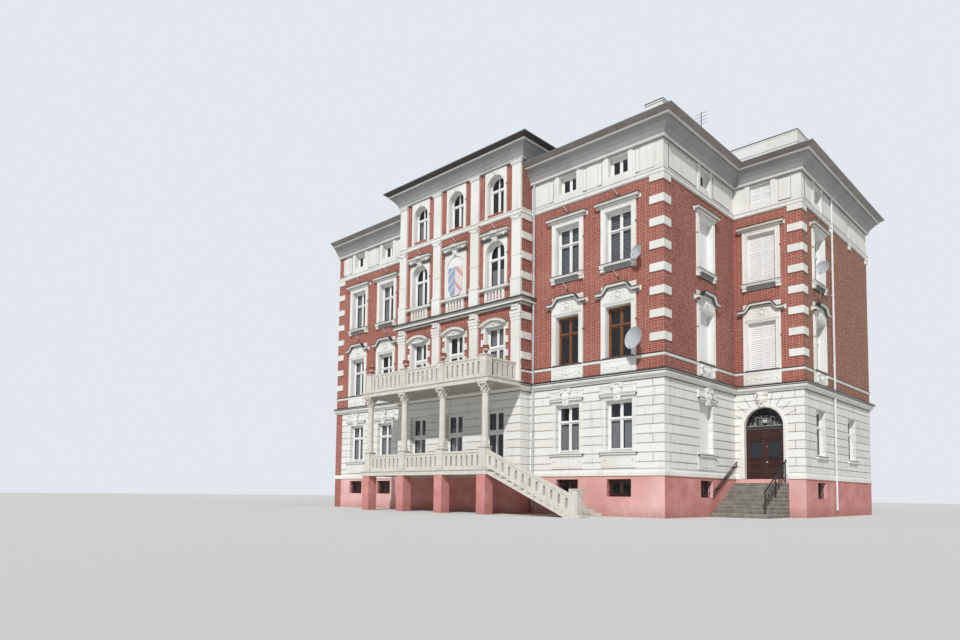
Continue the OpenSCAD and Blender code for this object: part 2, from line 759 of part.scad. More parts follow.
module sill(w, z) {
    plate(-w / 2 - sill_over, w / 2 + sill_over, z - sill_h, z, sill_out);
    for (s = [-1, 1]) translate([s * (w / 2 + bracket_x), 0, 0])
        plate(-bracket_w / 2, bracket_w / 2, z - sill_h - bracket_h, z - sill_h, sill_out - 30);
}
centre_trim_w = 150;
centre_hood_w = 1720;
centre_hood_z = second_win_z + second_win_h + 100;
balcony_head = balcony_win_z + balcony_win_h;
first_head = first_win_z + first_win_h + 490;
second_head = second_win_z + second_win_h + architrave_w;
top_head = frieze_top + centre_rise;
blind_h = 2120;
shield_w = 620;
shield_h = 820;
side_axes = [-centre_bay, centre_bay];
// Beside the tall windows on the balcony, blocks of stucco alternate with brick
centre_strip_w = 90;
block_w = 250;
block_step = 640;
module window_jambs() color(white) {
    at_front() main_jambs();
    at_right_parts() main_jambs();
    at_centre() {
        jambs(centre_win_w, balcony_z, balcony_head, centre_strip_w);
        for (i = [0:4]) jambs(centre_win_w, balcony_z + i * block_step,
                              min(balcony_z + i * block_step + block_step / 2, balcony_head), block_w);
        jambs(top_win_w, frieze_foot, top_win_z + top_win_h - top_win_w / 2, centre_trim_w);
    }
    at_centre(side_axes) jambs(centre_win_w, second_win_z, second_win_z + second_win_h - centre_win_w / 2,
                               centre_trim_w);
    at_centre([0]) jambs(centre_win_w, second_win_z, second_win_z + blind_h - centre_win_w / 2,
                         centre_trim_w);
}
module main_jambs() {
    jambs(first_win_w, sill_top, first_win_z + first_win_h);
    jambs(second_win_w, second_win_z, second_win_z + second_win_h);
}
// The band over an arched opening, from the foot of its arch
module arch_head(w, z, h, top) difference() {
    head(w, z + h - w / 2, top, centre_trim_w);
    hole(w, z, h, true);
}
// A hood of one low arc, filled behind down to its chord
arc_foot_h = 80;
arc_rise = 250;
module arc_hood(z, w, rise, filling) intersection() {
    r = (w * w / 4 + rise * rise) / (2 * rise);
    translate([0, 0, z + rise - r]) rotate([90, 0, 0]) difference() {
        cylinder(r = r, h = hood_out, $fn = 128);
        if (filling < hood_out) translate([0, 0, filling]) cylinder(r = r - hood_h, h = hood_out, $fn = 128);
    }
    translate([-w / 2, -hood_out, z]) cube([w, hood_out, rise]);
}
// The hood over a round arch: a bed, a fillet, an undercut and a cornice with a low arc on it
step_zs = [0, 120, 165, 250, 330];
step_outs = [100, 170, 110, hood_out];
step_ins = [150, 80, 120, 0];
low_rise = 60;
module stepped_hood(z) {
    for (i = [0:3]) plate(step_ins[i] - centre_hood_w / 2, centre_hood_w / 2 - step_ins[i],
                          z + step_zs[i], z + step_zs[i + 1], step_outs[i]);
    arc_hood(z + step_zs[4], centre_hood_w, low_rise, hood_out);
}
// A wide sill with a blind balustrade of arched slots below it
blind_w = 1240;
blind_slots = 5;
blind_out = 90;
blind_sill_w = 1860;
blind_sill_out = 200;
blind_foot = 50;
blind_rail = 85;
module blind_balustrade() {
    z0 = centre_cornice_top + blind_foot;
    z1 = second_win_z - sill_h;
    plate(-blind_sill_w / 2, blind_sill_w / 2, z1, second_win_z, blind_sill_out);
    difference() {
        plate(-blind_w / 2, blind_w / 2, z0, z1, blind_out);
        for (i = [0:blind_slots - 1])
            slot((i + 0.5 - blind_slots / 2) * blind_w / (blind_slots + 1), z0 + blind_rail,
                 z1 - z0 - 2 * blind_rail);
    }
}
apron_side = 220;
module main_hoods() {
    // the first storey: an apron under the sill string, a low sill and a curved hood on its field
    plate(-first_win_w / 2 - apron_side, first_win_w / 2 + apron_side, ground_top, sill_foot,
          architrave_out);
    plate(-first_win_w / 2, first_win_w / 2, sill_top, first_win_z, architrave_out);
    head(first_win_w, first_win_z + first_win_h, first_head);
    curved_hood(first_head);
    plate(-hood_w / 2 - field_side, hood_w / 2 + field_side, first_head - field_side,
          first_head + hood_h + field_side, field_out);
    plate(-first_win_w / 2 - architrave_w, first_win_w / 2 + architrave_w, first_head,
          first_head + hood_rise + hood_h, field_out);
    // the second storey: a sill on brackets and a flat hood, each on its field
    sill(second_win_w, second_win_z);
    plate(-second_win_w / 2 - sill_over, second_win_w / 2 + sill_over,
          second_win_z - sill_h - bracket_h, second_win_z - sill_h, field_out);
    head(second_win_w, second_win_z + second_win_h, second_head);
    flat_hood(second_head, hood_w);
    plate(-hood_w / 2 - field_side, hood_w / 2 + field_side, second_head,
          second_head + moulding_h + hood_h, field_out);
}
module window_hoods() color(white) {
    at_front() main_hoods();
    at_right_parts() main_hoods();
    at_centre() {
        head(centre_win_w, balcony_head, balcony_head + arc_foot_h, block_w);
        arc_hood(balcony_head + arc_foot_h, centre_win_w + 2 * block_w, arc_rise, architrave_out + 20);
        blind_balustrade();
        arch_head(top_win_w, top_win_z, top_win_h, top_head);
        stepped_hood(centre_hood_z);
    }
    at_centre(side_axes) arch_head(centre_win_w, second_win_z, second_win_h, centre_hood_z);
    at_centre([0]) {
        arch_head(centre_win_w, second_win_z, blind_h, centre_hood_z);
        // a plain shield on the blind arch
        plate(-shield_w / 2, shield_w / 2, second_win_z + blind_h / 2 - shield_h / 2,
              second_win_z + blind_h / 2 + shield_h / 2, architrave_out);
    }
    at_back() {
        sill(second_win_w, second_win_z);
        plate(-first_win_w / 2 - arch_over, first_win_w / 2 + arch_over, sill_top, first_win_z,
              small_sill_out);
    }
}
keystone_w = 260;
keystone_out = 150;
sill_ledge_out = 110;
keystone_rise = 680;
keystone_drop = 40;
keystone_top_w = 500;
lintel_side = 220;
lintel_up = 170;
lintel_h = 430;
lintel_foot_h = 60;
arch_over = 60;
ledge_h = 60;
ledge_side = 235;
ledge_z = ground_win_z - 150;
apron_foot = plinth_h + 330;
small_sill_out = 90;
module ground_trim() {
    top = ground_win_z + ground_win_h;
    half = ground_win_w / 2;
    // a lintel block on a ledge, with a keystone that spreads upward
    plate(-half - lintel_side, half + lintel_side, top + lintel_up, top + lintel_up + lintel_h,
          architrave_out);
    plate(-half - lintel_side, half + lintel_side, top + lintel_up, top + lintel_up + lintel_foot_h,
          sill_ledge_out);
    translate([0, 0, top]) rotate([90, 0, 0]) linear_extrude(keystone_out)
        polygon([[-keystone_w / 2, -keystone_drop], [keystone_w / 2, -keystone_drop],
                 [keystone_top_w / 2, keystone_rise], [-keystone_top_w / 2, keystone_rise]]);
    plate(-half - ledge_side, half + ledge_side, ledge_z, ledge_z + ledge_h, sill_ledge_out);
    plate(-half - apron_side, half + apron_side, ledge_z + ledge_h, ground_win_z, architrave_out);
    plate(-half - jamb_w, half + jamb_w, apron_foot, ledge_z, field_out);
}
module small_sill() plate(-ground_win_w / 2 - arch_over, ground_win_w / 2 + arch_over,
                          ground_win_z - sill_h, ground_win_z, small_sill_out);
module ground_window_trim() color(white) {
    at_front() ground_trim();
    at_return() ground_trim();
    at_back() small_sill();
    at_side(1) small_sill();
}

// A sheet in an opening's shape, set in by an inset from the opening's edge
module sheet(w, z, h, arch, inset, y, d) translate([0, y, 0]) {
    straight = arch ? h - w / 2 : h - inset;
    translate([inset - w / 2, 0, z + inset]) cube([w - 2 * inset, d, straight - inset]);
    if (arch) translate([0, 0, z + straight]) rotate([-90, 0, 0])
        cylinder(r = w / 2 - inset, h = d, $fn = 64);
}
// A window frame with its mullion and its transom in the front half of its depth
module window(w, z, h, arch = false, transom = 0.64, bar = bar_w) difference() {
    sheet(w, z, h, arch, 0, reveal, frame_t);
    difference() {
        sheet(w, z, h, arch, frame_w, reveal - cut, frame_t + 2 * cut);
        translate([-bar_w / 2, reveal, z]) cube([bar_w, frame_t / 2, h]);
        if (transom > 0) translate([-w / 2, reveal, z + transom * h - bar / 2])
            cube([w, frame_t / 2, bar]);
    }
}
module glass(w, z, h, arch = false) sheet(w, z, h, arch, frame_w, reveal + frame_t / 2, glass_t);
// Every place that holds a glazed window, by storey
module each_main() {
    at_front() children();
    at_side() children();
    at_back() children();
}
module each_ground() {
    at_front() children();
    at_side(1) children();
    at_back() children();
}
module ground_windows() color(white) {
    each_ground() window(ground_win_w, ground_win_z, ground_win_h);
    at_centre() window(centre_win_w, terrace_z, terrace_win_h, bar = 2 * frame_w);
}
module upper_windows() color(white) {
    each_main() window(first_win_w, first_win_z, first_win_h);
    each_main() window(second_win_w, second_win_z, second_win_h);
    at_centre() window(centre_win_w, balcony_win_z, balcony_win_h, bar = 2 * frame_w);
    at_centre(side_axes) window(centre_win_w, second_win_z, second_win_h, true);
}
module small_windows() color(white) {
    each_main() window(attic_win_w, attic_win_z, attic_win_h, transom = 0);
    at_centre() window(top_win_w, top_win_z, top_win_h, true);
    each_main() window(cellar_win_w, cellar_win_z, cellar_win_h, transom = 0);
    at_return() {
        window(cellar_win_w, cellar_win_z, cellar_win_h, transom = 0);
        window(attic_win_w, attic_win_z, attic_win_h, transom = 0);
    }
}
module window_glass() color(glazing) {
    each_ground() glass(ground_win_w, ground_win_z, ground_win_h);
    each_main() {
        glass(first_win_w, first_win_z, first_win_h);
        glass(second_win_w, second_win_z, second_win_h);
        glass(attic_win_w, attic_win_z, attic_win_h);
        glass(cellar_win_w, cellar_win_z, cellar_win_h);
    }
    at_return() {
        glass(cellar_win_w, cellar_win_z, cellar_win_h);
        glass(attic_win_w, attic_win_z, attic_win_h);
    }
    at_centre() {
        glass(centre_win_w, terrace_z, terrace_win_h);
        glass(centre_win_w, balcony_win_z, balcony_win_h);
        glass(top_win_w, top_win_z, top_win_h, true);
    }
    at_centre(side_axes) glass(centre_win_w, second_win_z, second_win_h, true);
    at_wing() fanlight(door_frame_w, door_reveal + door_depth / 2, glass_t);
}

// Shutters and boards that close the openings of the return and of the wing's front
shutter_in = 120;
shutter_t = 50;
shutter_rail = 90;
sunk = 12;
module shutter(w, z, h, rows = 2, in = shutter_in) translate([0, in, 0]) difference() {
    translate([-w / 2, 0, z]) cube([w, shutter_t, h]);
    panel_w = w / 2 - 1.5 * shutter_rail;
    row_h = (h - shutter_rail) / rows;
    for (s = [-1, 1]) for (r = [0:rows - 1])
        translate([s * (panel_w + shutter_rail) / 2 - panel_w / 2, -cut, z + shutter_rail + r * row_h])
            cube([panel_w, cut + sunk, row_h - shutter_rail]);
}
module shutters() color(white) {
    at_return() shutter(ground_win_w, ground_win_z, ground_win_h, in = reveal);
    at_return() shutter(first_win_w, first_win_z, first_win_h, in = reveal);
    at_return() shutter(second_win_w, second_win_z, second_win_h, in = reveal);
    at_wing() shutter(first_win_w, first_win_z, first_win_h);
    at_wing() shutter(second_win_w, second_win_z, second_win_h);
    at_wing() shutter(attic_win_w, attic_win_z, attic_win_h, 1);
}

// The side door: a frame with a transom and a fanlight, and two leaves that open inward
door_depth = leaf_t + 10;
transom_z = plinth_h + leaf_h + 2 * leaf_gap;
leaf_w = (door_w - 2 * door_frame_w - 3 * leaf_gap) / 2;
leaf_x = door_w / 2 - door_frame_w - leaf_gap;
pin_side = 4;
pin_back = 12;
hinge_x = leaf_x + pin_side;
hinge_y = door_reveal + leaf_t + pin_back;
hinge_zs = [for (t = [0.1, 0.5, 0.9]) plinth_h + leaf_gap + t * leaf_h];
knuckle_gap = 0.5;
hinge_play = 1;
arm_t = 6;
arm_w = 50;
module fanlight(inset, y, d) translate([0, y, 0]) intersection() {
    translate([0, 0, door_spring_z]) rotate([-90, 0, 0])
        cylinder(r = door_arch_r - inset, h = d, $fn = 96);
    translate([-door_w / 2, -cut, door_spring_z]) cube([door_w, d + 2 * cut, door_w]);
}
module door_frame() color(oak) at_wing() difference() {
    union() {
        difference() {
            fanlight(0, door_reveal, door_depth);
            fanlight(door_frame_w, door_reveal - cut, door_depth + 2 * cut);
        }
        translate([0, door_reveal, 0]) {
            translate([-door_w / 2, 0, transom_z]) cube([door_w, door_depth, door_spring_z - transom_z]);
            both() translate([door_w / 2 - door_frame_w, 0, plinth_h])
                cube([door_frame_w, door_depth, transom_z - plinth_h]);
        }
        both() for (z = hinge_zs) translate([hinge_x, hinge_y, z - knuckle_h])
            cylinder(r = barrel_r, h = knuckle_h, $fn = 48);
    }
    both() for (z = hinge_zs) translate([hinge_x, hinge_y, z])
        cylinder(r = barrel_r + hinge_play, h = knuckle_h + 2 * hinge_play, $fn = 48);
}
// The right leaf; the left one is its mirror image
pane_z = 0.4 * leaf_h;
pane_h = 0.38 * leaf_h;
stile_w = 140;
pane_t = 10;
module leaf() {
    sunk_w = leaf_w - 2 * stile_w;
    translate([leaf_gap / 2, door_reveal, plinth_h + leaf_gap]) difference() {
        cube([leaf_w, leaf_t, leaf_h]);
        translate([stile_w, -cut, pane_z]) cube([sunk_w, cut + (leaf_t - pane_t) / 2, pane_h]);
        translate([stile_w, (leaf_t + pane_t) / 2, pane_z]) cube([sunk_w, leaf_t, pane_h]);
        translate([stile_w, -cut, stile_w]) cube([sunk_w, cut + sunk, pane_z - 2 * stile_w]);
        translate([stile_w, -cut, pane_z + pane_h + stile_w])
            cube([sunk_w, cut + sunk, leaf_h - pane_z - pane_h - 2 * stile_w]);
    }
    for (z = hinge_zs) {
        translate([hinge_x, hinge_y, z + knuckle_gap]) cylinder(r = barrel_r, h = knuckle_h, $fn = 48);
        translate([leaf_x - arm_w, door_reveal + leaf_t, z + knuckle_gap]) cube([arm_w, arm_t, knuckle_h]);
    }
}
module door_leaf_left() color(oak) at_wing() mirror([1, 0, 0]) leaf();
module door_leaf_right() color(oak) at_wing() leaf();

// Stone steps to the side door
side_risers = 10;
side_riser = plinth_h / side_risers;
steps_front = y_wing - (side_risers - 1) * step_going;
function tread_y(i) = steps_front + i * step_going;
module side_steps() color(sandstone)
    translate([x_front, 0, 0]) rotate([90, 0, 90]) linear_extrude(side_steps_w) polygon(concat(
        [for (i = [0:side_risers - 2])
            each [[tread_y(i), i * side_riser], [tread_y(i), (i + 1) * side_riser]]],
        [[y_wing, (side_risers - 1) * side_riser], [y_wing, 0]]));

// A square bar up from a tread, and a sloping rail of the same square iron between two treads
iron_w = 36;
rail_h = 900;
rail_gap = 140;
rail_x = x_front + side_steps_w - 100;
wall_rail_x = x_front + 90;
wall_pin = 16;
function nose(i) = [tread_y(i) + step_going / 2, (i + 1) * side_riser];
module post(x, i, z0, z1) translate([x - iron_w / 2, nose(i)[0] - iron_w / 2, nose(i)[1] + z0])
    cube([iron_w, iron_w, z1 - z0]);
module sloped_rail(x, w, z, h) {
    over = 90;
    lean = side_riser / step_going;
    p = nose(0) + [-over, z - over * lean];
    q = nose(side_risers - 2) + [over, z + over * lean];
    translate([x - w / 2, 0, 0]) rotate([90, 0, 90]) linear_extrude(w)
        polygon([p, q, q + [0, h], p + [0, h]]);
}
module side_railings() color("black") {
    // the railing on the open side: posts, a handrail and a foot rail
    for (i = [0:4:side_risers - 2]) post(rail_x, i, 0, rail_h + iron_w / 2);
    sloped_rail(rail_x, iron_w + 14, rail_h, iron_w);
    sloped_rail(rail_x, iron_w - 10, 2 * rail_gap, iron_w - 10);
    // two handrails on the wall, on brackets
    for (up = [rail_h, rail_h - rail_gap]) sloped_rail(wall_rail_x, iron_w + 4, up, iron_w);
    for (i = [1:3:side_risers - 2]) {
        post(wall_rail_x, i, rail_h - rail_gap + iron_w / 2, rail_h + iron_w / 2);
        slab(x_front, wall_rail_x, nose(i)[0] - wall_pin / 2, nose(i)[0] + wall_pin / 2,
             nose(i)[1] + rail_h - rail_gap / 2, nose(i)[1] + rail_h - rail_gap / 2 + wall_pin);
    }
}

// The terrace, its piers and the stair that comes down beside it
y_column = y_centre - column_out;
column_axes = pilaster_axes;
terrace_side = 370;
terrace_front = 250;
terrace_x = column_axes[3] + terrace_side;
terrace_y = y_column - terrace_front;
terrace_pier_w = 500;
module terrace() color(sandstone)
    slab(-terrace_x, terrace_x, terrace_y, y_centre, terrace_base, terrace_z);
stair_risers = 13;
stair_riser = terrace_z / stair_risers;
stair_slope = stair_riser / stair_going;
stair_end = terrace_x + (stair_risers - 1) * stair_going;
module terrace_stair() color(sandstone)
    translate([0, y_centre, 0]) rotate([90, 0, 0]) linear_extrude(y_centre - y_column + pier_w / 2)
        polygon(concat([[terrace_x, terrace_base]],
            [for (i = [1:stair_risers - 1])
                each [[terrace_x + (i - 1) * stair_going, terrace_z - i * stair_riser],
                      [terrace_x + i * stair_going, terrace_z - i * stair_riser]]],
            [[stair_end, 0], [terrace_x + terrace_base / stair_slope, 0]]));

// A balustrade: thick panels with arched slots under a coping
slot_w = 120;
slot_pitch = 310;
slot_foot = 150;
slot_head = 190;
rail_t = 90;
rail_over = 25;
module slot(x, z, h) translate([x, 0, z]) {
    translate([-slot_w / 2, -panel_t, 0]) cube([slot_w, 2 * panel_t, h - slot_w / 2]);
    translate([0, panel_t, h - slot_w / 2]) rotate([90, 0, 0])
        cylinder(d = slot_w, h = 2 * panel_t, $fn = 32);
}
module balusters(x0, x1, z, h) {
    n = floor((x1 - x0) / slot_pitch);
    difference() {
        translate([x0, -panel_t / 2, z]) cube([x1 - x0, panel_t, h]);
        if (n > 1) for (i = [0:n - 1])
            slot(x0 + (i + 0.5) * (x1 - x0) / n, z + slot_foot, h - slot_foot - slot_head);
    }
    translate([x0, -panel_t / 2 - rail_over, z + h - rail_t])
        cube([x1 - x0, panel_t + 2 * rail_over, rail_t]);
}
module along_y(x) translate([x, 0, 0]) rotate([0, 0, 90]) children();
module pier(x, y, z0, z1) slab(x - pier_w / 2, x + pier_w / 2, y - pier_w / 2, y + pier_w / 2, z0, z1);
foot_pier_h = 1100;
stair_slot_foot = 570;
stair_slot_h = 380;
module stair_rail() difference() {
    x0 = column_axes[3] + pier_w / 2;
    top = terrace_z + terrace_rail_h;
    drop = (stair_end - x0) * stair_slope;
    union() {
        translate([0, panel_t / 2, 0]) rotate([90, 0, 0]) linear_extrude(panel_t)
            polygon([[x0, terrace_z], [x0, top], [stair_end, top - drop], [stair_end, 0],
                     [terrace_x, terrace_z]]);
        translate([0, panel_t / 2 + rail_over, 0]) rotate([90, 0, 0])
            linear_extrude(panel_t + 2 * rail_over)
            polygon([[x0, top - rail_t], [x0, top], [stair_end, top - drop],
                     [stair_end, top - drop - rail_t]]);
    }
    n = floor((stair_end - x0) / (1.15 * slot_pitch));
    for (i = [0:n - 1]) {
        x = x0 + (i + 0.5) * (stair_end - x0) / n;
        slot(x, top - (x - x0) * stair_slope - stair_slot_foot, stair_slot_h);
    }
}
module terrace_balustrade() color(sandstone) {
    for (i = [0:2]) translate([0, y_column, 0])
        balusters(column_axes[i] + pier_w / 2, column_axes[i + 1] - pier_w / 2, terrace_z, terrace_rail_h);
    along_y(column_axes[0]) balusters(y_column + pier_w / 2, y_centre, terrace_z, terrace_rail_h);
    difference() {
        translate([0, y_column, 0]) stair_rail();
        terrace_stair();
    }
    pier(stair_end + pier_w / 2, y_column, 0, foot_pier_h);
}

// Columns on pedestals, each with a turned base and a leafed capital
pedestal_top = terrace_z + 950;
base_h = 130;
abacus_h = 80;
abacus_w = 500;
column_top = balcony_base - abacus_h;
capital_z = column_top - 350;
module column(x) translate([x, y_column, 0]) {
    r = column_d / 2;
    neck = 0.95 * r;
    translate([-pier_w / 2, -pier_w / 2, terrace_z]) cube([pier_w, pier_w, pedestal_top - terrace_z]);
    rotate_extrude($fn = 48) polygon([[0, pedestal_top], [r + 15, pedestal_top],
        [r + 15, pedestal_top + base_h / 2], [r + 5, pedestal_top + base_h], [r, pedestal_top + base_h],
        [neck, capital_z - 40], [neck + 20, capital_z - 40], [neck + 20, capital_z], [neck, capital_z],
        [neck + 10, capital_z + 190], [neck + 60, column_top], [0, column_top]]);
    translate([-abacus_w / 2, -abacus_w / 2, column_top]) cube([abacus_w, abacus_w, abacus_h]);
}
module portico_columns() color(sandstone) for (x = column_axes) column(x);

// The balcony floor rests on the columns and laps over the ground storey's cornice
balcony_x = column_axes[3] + 420;
module balcony_slab() color(sandstone) difference() {
    slab(-balcony_x, balcony_x, terrace_y, y_centre, balcony_base, balcony_z);
    moulded(-x_centre, x_centre, y_centre, y_front, ground_cornice);
}
vase = [[0, 0], [110, 0], [110, 40], [50, 70], [60, 110], [150, 210], [165, 300], [120, 350], [150, 400],
        [100, 400], [80, 350], [0, 330]];
module balcony_balustrade() color(sandstone) {
    for (x = column_axes) {
        pier(x, y_column, balcony_z, balcony_z + balcony_rail_h + 60);
        translate([x, y_column, balcony_z + balcony_rail_h + 60]) rotate_extrude($fn = 36) polygon(vase);
    }
    for (i = [0:2]) translate([0, y_column, 0])
        balusters(column_axes[i] + pier_w / 2, column_axes[i + 1] - pier_w / 2, balcony_z, balcony_rail_h);
    for (s = [0, 3]) along_y(column_axes[s])
        balusters(y_column + pier_w / 2, y_centre - foot_out, balcony_z, balcony_rail_h);
}

// Rainwater pipes with their wall clips
pipe_foot = 300;
clip_h = 40;
clip_zs = [plinth_h / 2, ground_win_z + ground_win_h / 2, first_win_z + first_win_h / 4,
           second_win_z - 3 * clip_h, second_win_z + second_win_h / 2, frieze_foot + clip_h];
module downpipes() color(metal) at_pipes() {
    translate([0, -pipe_out, pipe_foot]) cylinder(d = pipe_d, h = frieze_top - pipe_foot, $fn = 32);
    for (z = clip_zs) {
        translate([-0.45 * pipe_d, -pipe_out, z]) cube([0.9 * pipe_d, pipe_out, clip_h]);
        translate([0, -pipe_out, z]) cylinder(d = 1.12 * pipe_d, h = clip_h, $fn = 32);
    }
}

// Dish aerials on the walls and two mast aerials on the roof
dish_t = 6;
dish_arm = 18;
dish_steps = 8;
dish_small = 580;
dish_wide = 900;
dish_side = 600;
dish_tilt = 82;
dish_in = 1000;
dish_reach = 0.48;
dish_side_reach = 0.65;
dish_turn = -15;
dish_side_turn = dish_turn - 85;
// A dish on an arm, turned sideways from the wall's own direction
module dish(d, turn = dish_turn, share = dish_reach) {
    reach = share * d;
    depth_at = function(r) 0.7 * r * r / d;
    rings = [for (i = [0:dish_steps]) d / 2 * i / dish_steps];
    rotate([90, 0, 0]) cylinder(r = dish_arm, h = reach + dish_t, $fn = 24);
    translate([0, -reach, 0]) rotate([0, 0, turn]) rotate([dish_tilt, 0, 0])
        rotate_extrude($fn = 48) polygon(concat(
            [for (i = [dish_steps:-1:0]) [rings[i], depth_at(rings[i])]],
            [for (r = rings) [r, depth_at(r) + dish_t]]));
}
mast_h = 2100;
mast_r = 22;
rod_l = 600;
rod_step = 160;
module mast(x, y) difference() {
    union() {
        translate([x, y, eaves_z]) cylinder(r = mast_r, h = mast_h, $fn = 24);
        for (k = [0:3]) translate([x - rod_l / 2, y, eaves_z + mast_h - (k + 0.4) * rod_step])
            rotate([0, 90, 0]) cylinder(r = mast_r / 3, h = rod_l, $fn = 16);
    }
    hips(eaves_z, eaves_out);
}
module roof_fittings() color("lightgrey") {
    on_front(x_front - dish_in) {
        translate([0, 0, second_win_z + 60]) dish(dish_small);
        translate([0, 0, first_win_z + first_win_h / 4]) dish(dish_wide);
    }
    on_right(y_wing + 0.75 * side_axis, x_wing) translate([0, 0, second_win_z + second_win_h / 4])
        dish(dish_side, dish_side_turn, dish_side_reach);
    mast(side_mid - 3 * bay_half, y_front + 5 * wall_t);
    mast(side_mid + 2.3 * bay_half, y_front + 7 * wall_t);
}

plinth_walls();
plinth_side_walls();
ground_wall_front();
ground_wall_centre();
ground_wall_side();
ground_wall_back();
door_wall_piers();
door_wall_arch();
brick_wall_front();
brick_wall_centre();
brick_wall_side();
brick_wall_back();
party_wall();
frieze_walls();
frieze_side_walls();
centre_attic_walls();
floors();
string_courses();
main_cornice();
gutters();
roof();
roof_parapets();
quoins();
pilasters();
window_jambs();
window_hoods();
ground_window_trim();
ground_windows();
upper_windows();
small_windows();
window_glass();
shutters();
door_frame();
door_leaf_left();
door_leaf_right();
side_steps();
side_railings();
terrace();
terrace_stair();
terrace_balustrade();
portico_columns();
balcony_slab();
balcony_balustrade();
downpipes();
roof_fittings();
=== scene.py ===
import math

import bmesh
import bpy
from mathutils import Matrix, Vector


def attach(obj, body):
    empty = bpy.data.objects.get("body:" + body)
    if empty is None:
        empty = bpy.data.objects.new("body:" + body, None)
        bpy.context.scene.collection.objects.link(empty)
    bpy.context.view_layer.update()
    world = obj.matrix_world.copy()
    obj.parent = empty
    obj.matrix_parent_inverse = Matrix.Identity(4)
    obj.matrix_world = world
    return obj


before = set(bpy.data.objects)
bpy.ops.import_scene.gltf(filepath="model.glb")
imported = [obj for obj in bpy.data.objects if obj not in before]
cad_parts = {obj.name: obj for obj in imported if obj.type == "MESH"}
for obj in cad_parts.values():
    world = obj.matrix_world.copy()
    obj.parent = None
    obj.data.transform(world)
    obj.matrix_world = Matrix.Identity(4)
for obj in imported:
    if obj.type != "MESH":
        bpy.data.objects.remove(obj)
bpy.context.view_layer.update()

# The camera stands on the street at the right of the building, a little above the ground,
# and looks up and to the left, as in the photograph.
CAMERA_PLACE = Vector((24.103, -23.792, 0.866))
CAMERA_TURN, CAMERA_TILT, CAMERA_ROLL = (math.radians(a) for a in (43.517, 3.604, 0.677))
FOCAL_PIXELS, HORIZON_PIXEL, IMAGE_WIDTH, IMAGE_HEIGHT = 685.9, 450.73, 960.0, 640.0
forward = Vector((-math.sin(CAMERA_TURN) * math.cos(CAMERA_TILT),
                  math.cos(CAMERA_TURN) * math.cos(CAMERA_TILT), math.sin(CAMERA_TILT)))
level = Vector((math.cos(CAMERA_TURN), math.sin(CAMERA_TURN), 0.0))
upward = level.cross(forward)
right = level * math.cos(CAMERA_ROLL) + upward * math.sin(CAMERA_ROLL)
upward = upward * math.cos(CAMERA_ROLL) - level * math.sin(CAMERA_ROLL)
camera = bpy.data.objects.new("camera", bpy.data.cameras.new("camera"))
bpy.context.scene.collection.objects.link(camera)
camera.matrix_world = Matrix.Translation(CAMERA_PLACE) @ Matrix(
    (right, upward, -forward)).transposed().to_4x4()
camera.data.sensor_width = 36.0
camera.data.lens = FOCAL_PIXELS * 36.0 / IMAGE_WIDTH
camera.data.shift_y = (HORIZON_PIXEL - IMAGE_HEIGHT / 2) / IMAGE_WIDTH
camera.data.clip_end = 500.0
bpy.context.scene.camera = camera
bpy.context.scene.view_settings.view_transform = "Standard"


# The studio: a pale floor that runs off to a pale backdrop, a sun lamp from the right of the
# street side, where the photograph's sun stands, and an even sky that fills the shadows.
def paint(code):
    """An sRGB hex value as the linear colour that a socket takes."""
    parts = [int(code[i:i + 2], 16) / 255 for i in (1, 3, 5)]
    return tuple(c / 12.92 if c <= 0.04045 else ((c + 0.055) / 1.055) ** 2.4 for c in parts) + (1.0,)


def add(kind, inputs=(), out=0, stops=(), **settings):
    """One node in the present tree; gives back one of its outputs.

    An input is a value, a hex colour or another node's output. Stops are a ramp's places
    and colours.
    """
    node = tree.nodes.new("ShaderNode" + kind)
    for name, value in settings.items():
        setattr(node, name, value)
    for name, value in inputs.items() if isinstance(inputs, dict) else enumerate(inputs):
        if isinstance(value, bpy.types.NodeSocket):
            tree.links.new(value, node.inputs[name])
        else:
            node.inputs[name].default_value = paint(value) if isinstance(value, str) else value
    if stops:
        elements = node.color_ramp.elements
        while len(elements) < len(stops):
            elements.new(0.5)
        for element, (place, code) in zip(elements, stops):
            element.position, element.color = place, paint(code)
    return node.outputs[out]


def new_material(name):
    """An empty material, whose tree becomes the present one."""
    global tree
    material = bpy.data.materials.new(name)
    material.use_nodes = True
    tree = material.node_tree
    tree.nodes.remove(tree.nodes["Principled BSDF"])
    return material


def surface(colour, roughness, *bumps, more=None):
    """The shader. A bump is its height, its depth in metres and a share, negative for a groove."""
    inputs = {"Base Color": colour, "Roughness": roughness, **(more or {})}
    normal = {}
    for height, depth, share in bumps:
        normal = {"Normal": add("Bump", {"Height": height, "Distance": depth, "Strength": abs(share), **normal},
                                invert=share < 0)}
    tree.links.new(add("BsdfPrincipled", {**inputs, **normal}), tree.nodes["Material Output"].inputs["Surface"])


studio_floor = bpy.data.objects.new("studio_floor", bpy.data.meshes.new("studio_floor"))
form = bmesh.new()
bmesh.ops.create_grid(form, x_segments=1, y_segments=1, size=140.0)
form.to_mesh(studio_floor.data)
form.free()
bpy.context.scene.collection.objects.link(studio_floor)
studio_floor.data.materials.append(new_material("pale matte studio paper"))
surface("#D2D2CE", 0.9)
sun = bpy.data.objects.new("sun", bpy.data.lights.new("sun", "SUN"))
sun.data.energy, sun.data.angle = 2.95, math.radians(1.5)
sun.rotation_euler = Vector((1.0, -1.9, 1.7)).to_track_quat("Z", "Y").to_euler()
bpy.context.scene.collection.objects.link(sun)
world = bpy.data.worlds.new("sky")
bpy.context.scene.world = world
world.use_nodes = True
tree = world.node_tree
sky = tree.nodes["Background"]
sky.inputs["Color"].default_value = paint("#E6EDF6")
sky.inputs["Strength"].default_value = 0.42
rays = add("LightPath", out="Is Camera Ray")
mirrored = add("Math", [rays.node.outputs[name] for name in ("Is Glossy Ray", "Is Transmission Ray")],
               operation="ADD")
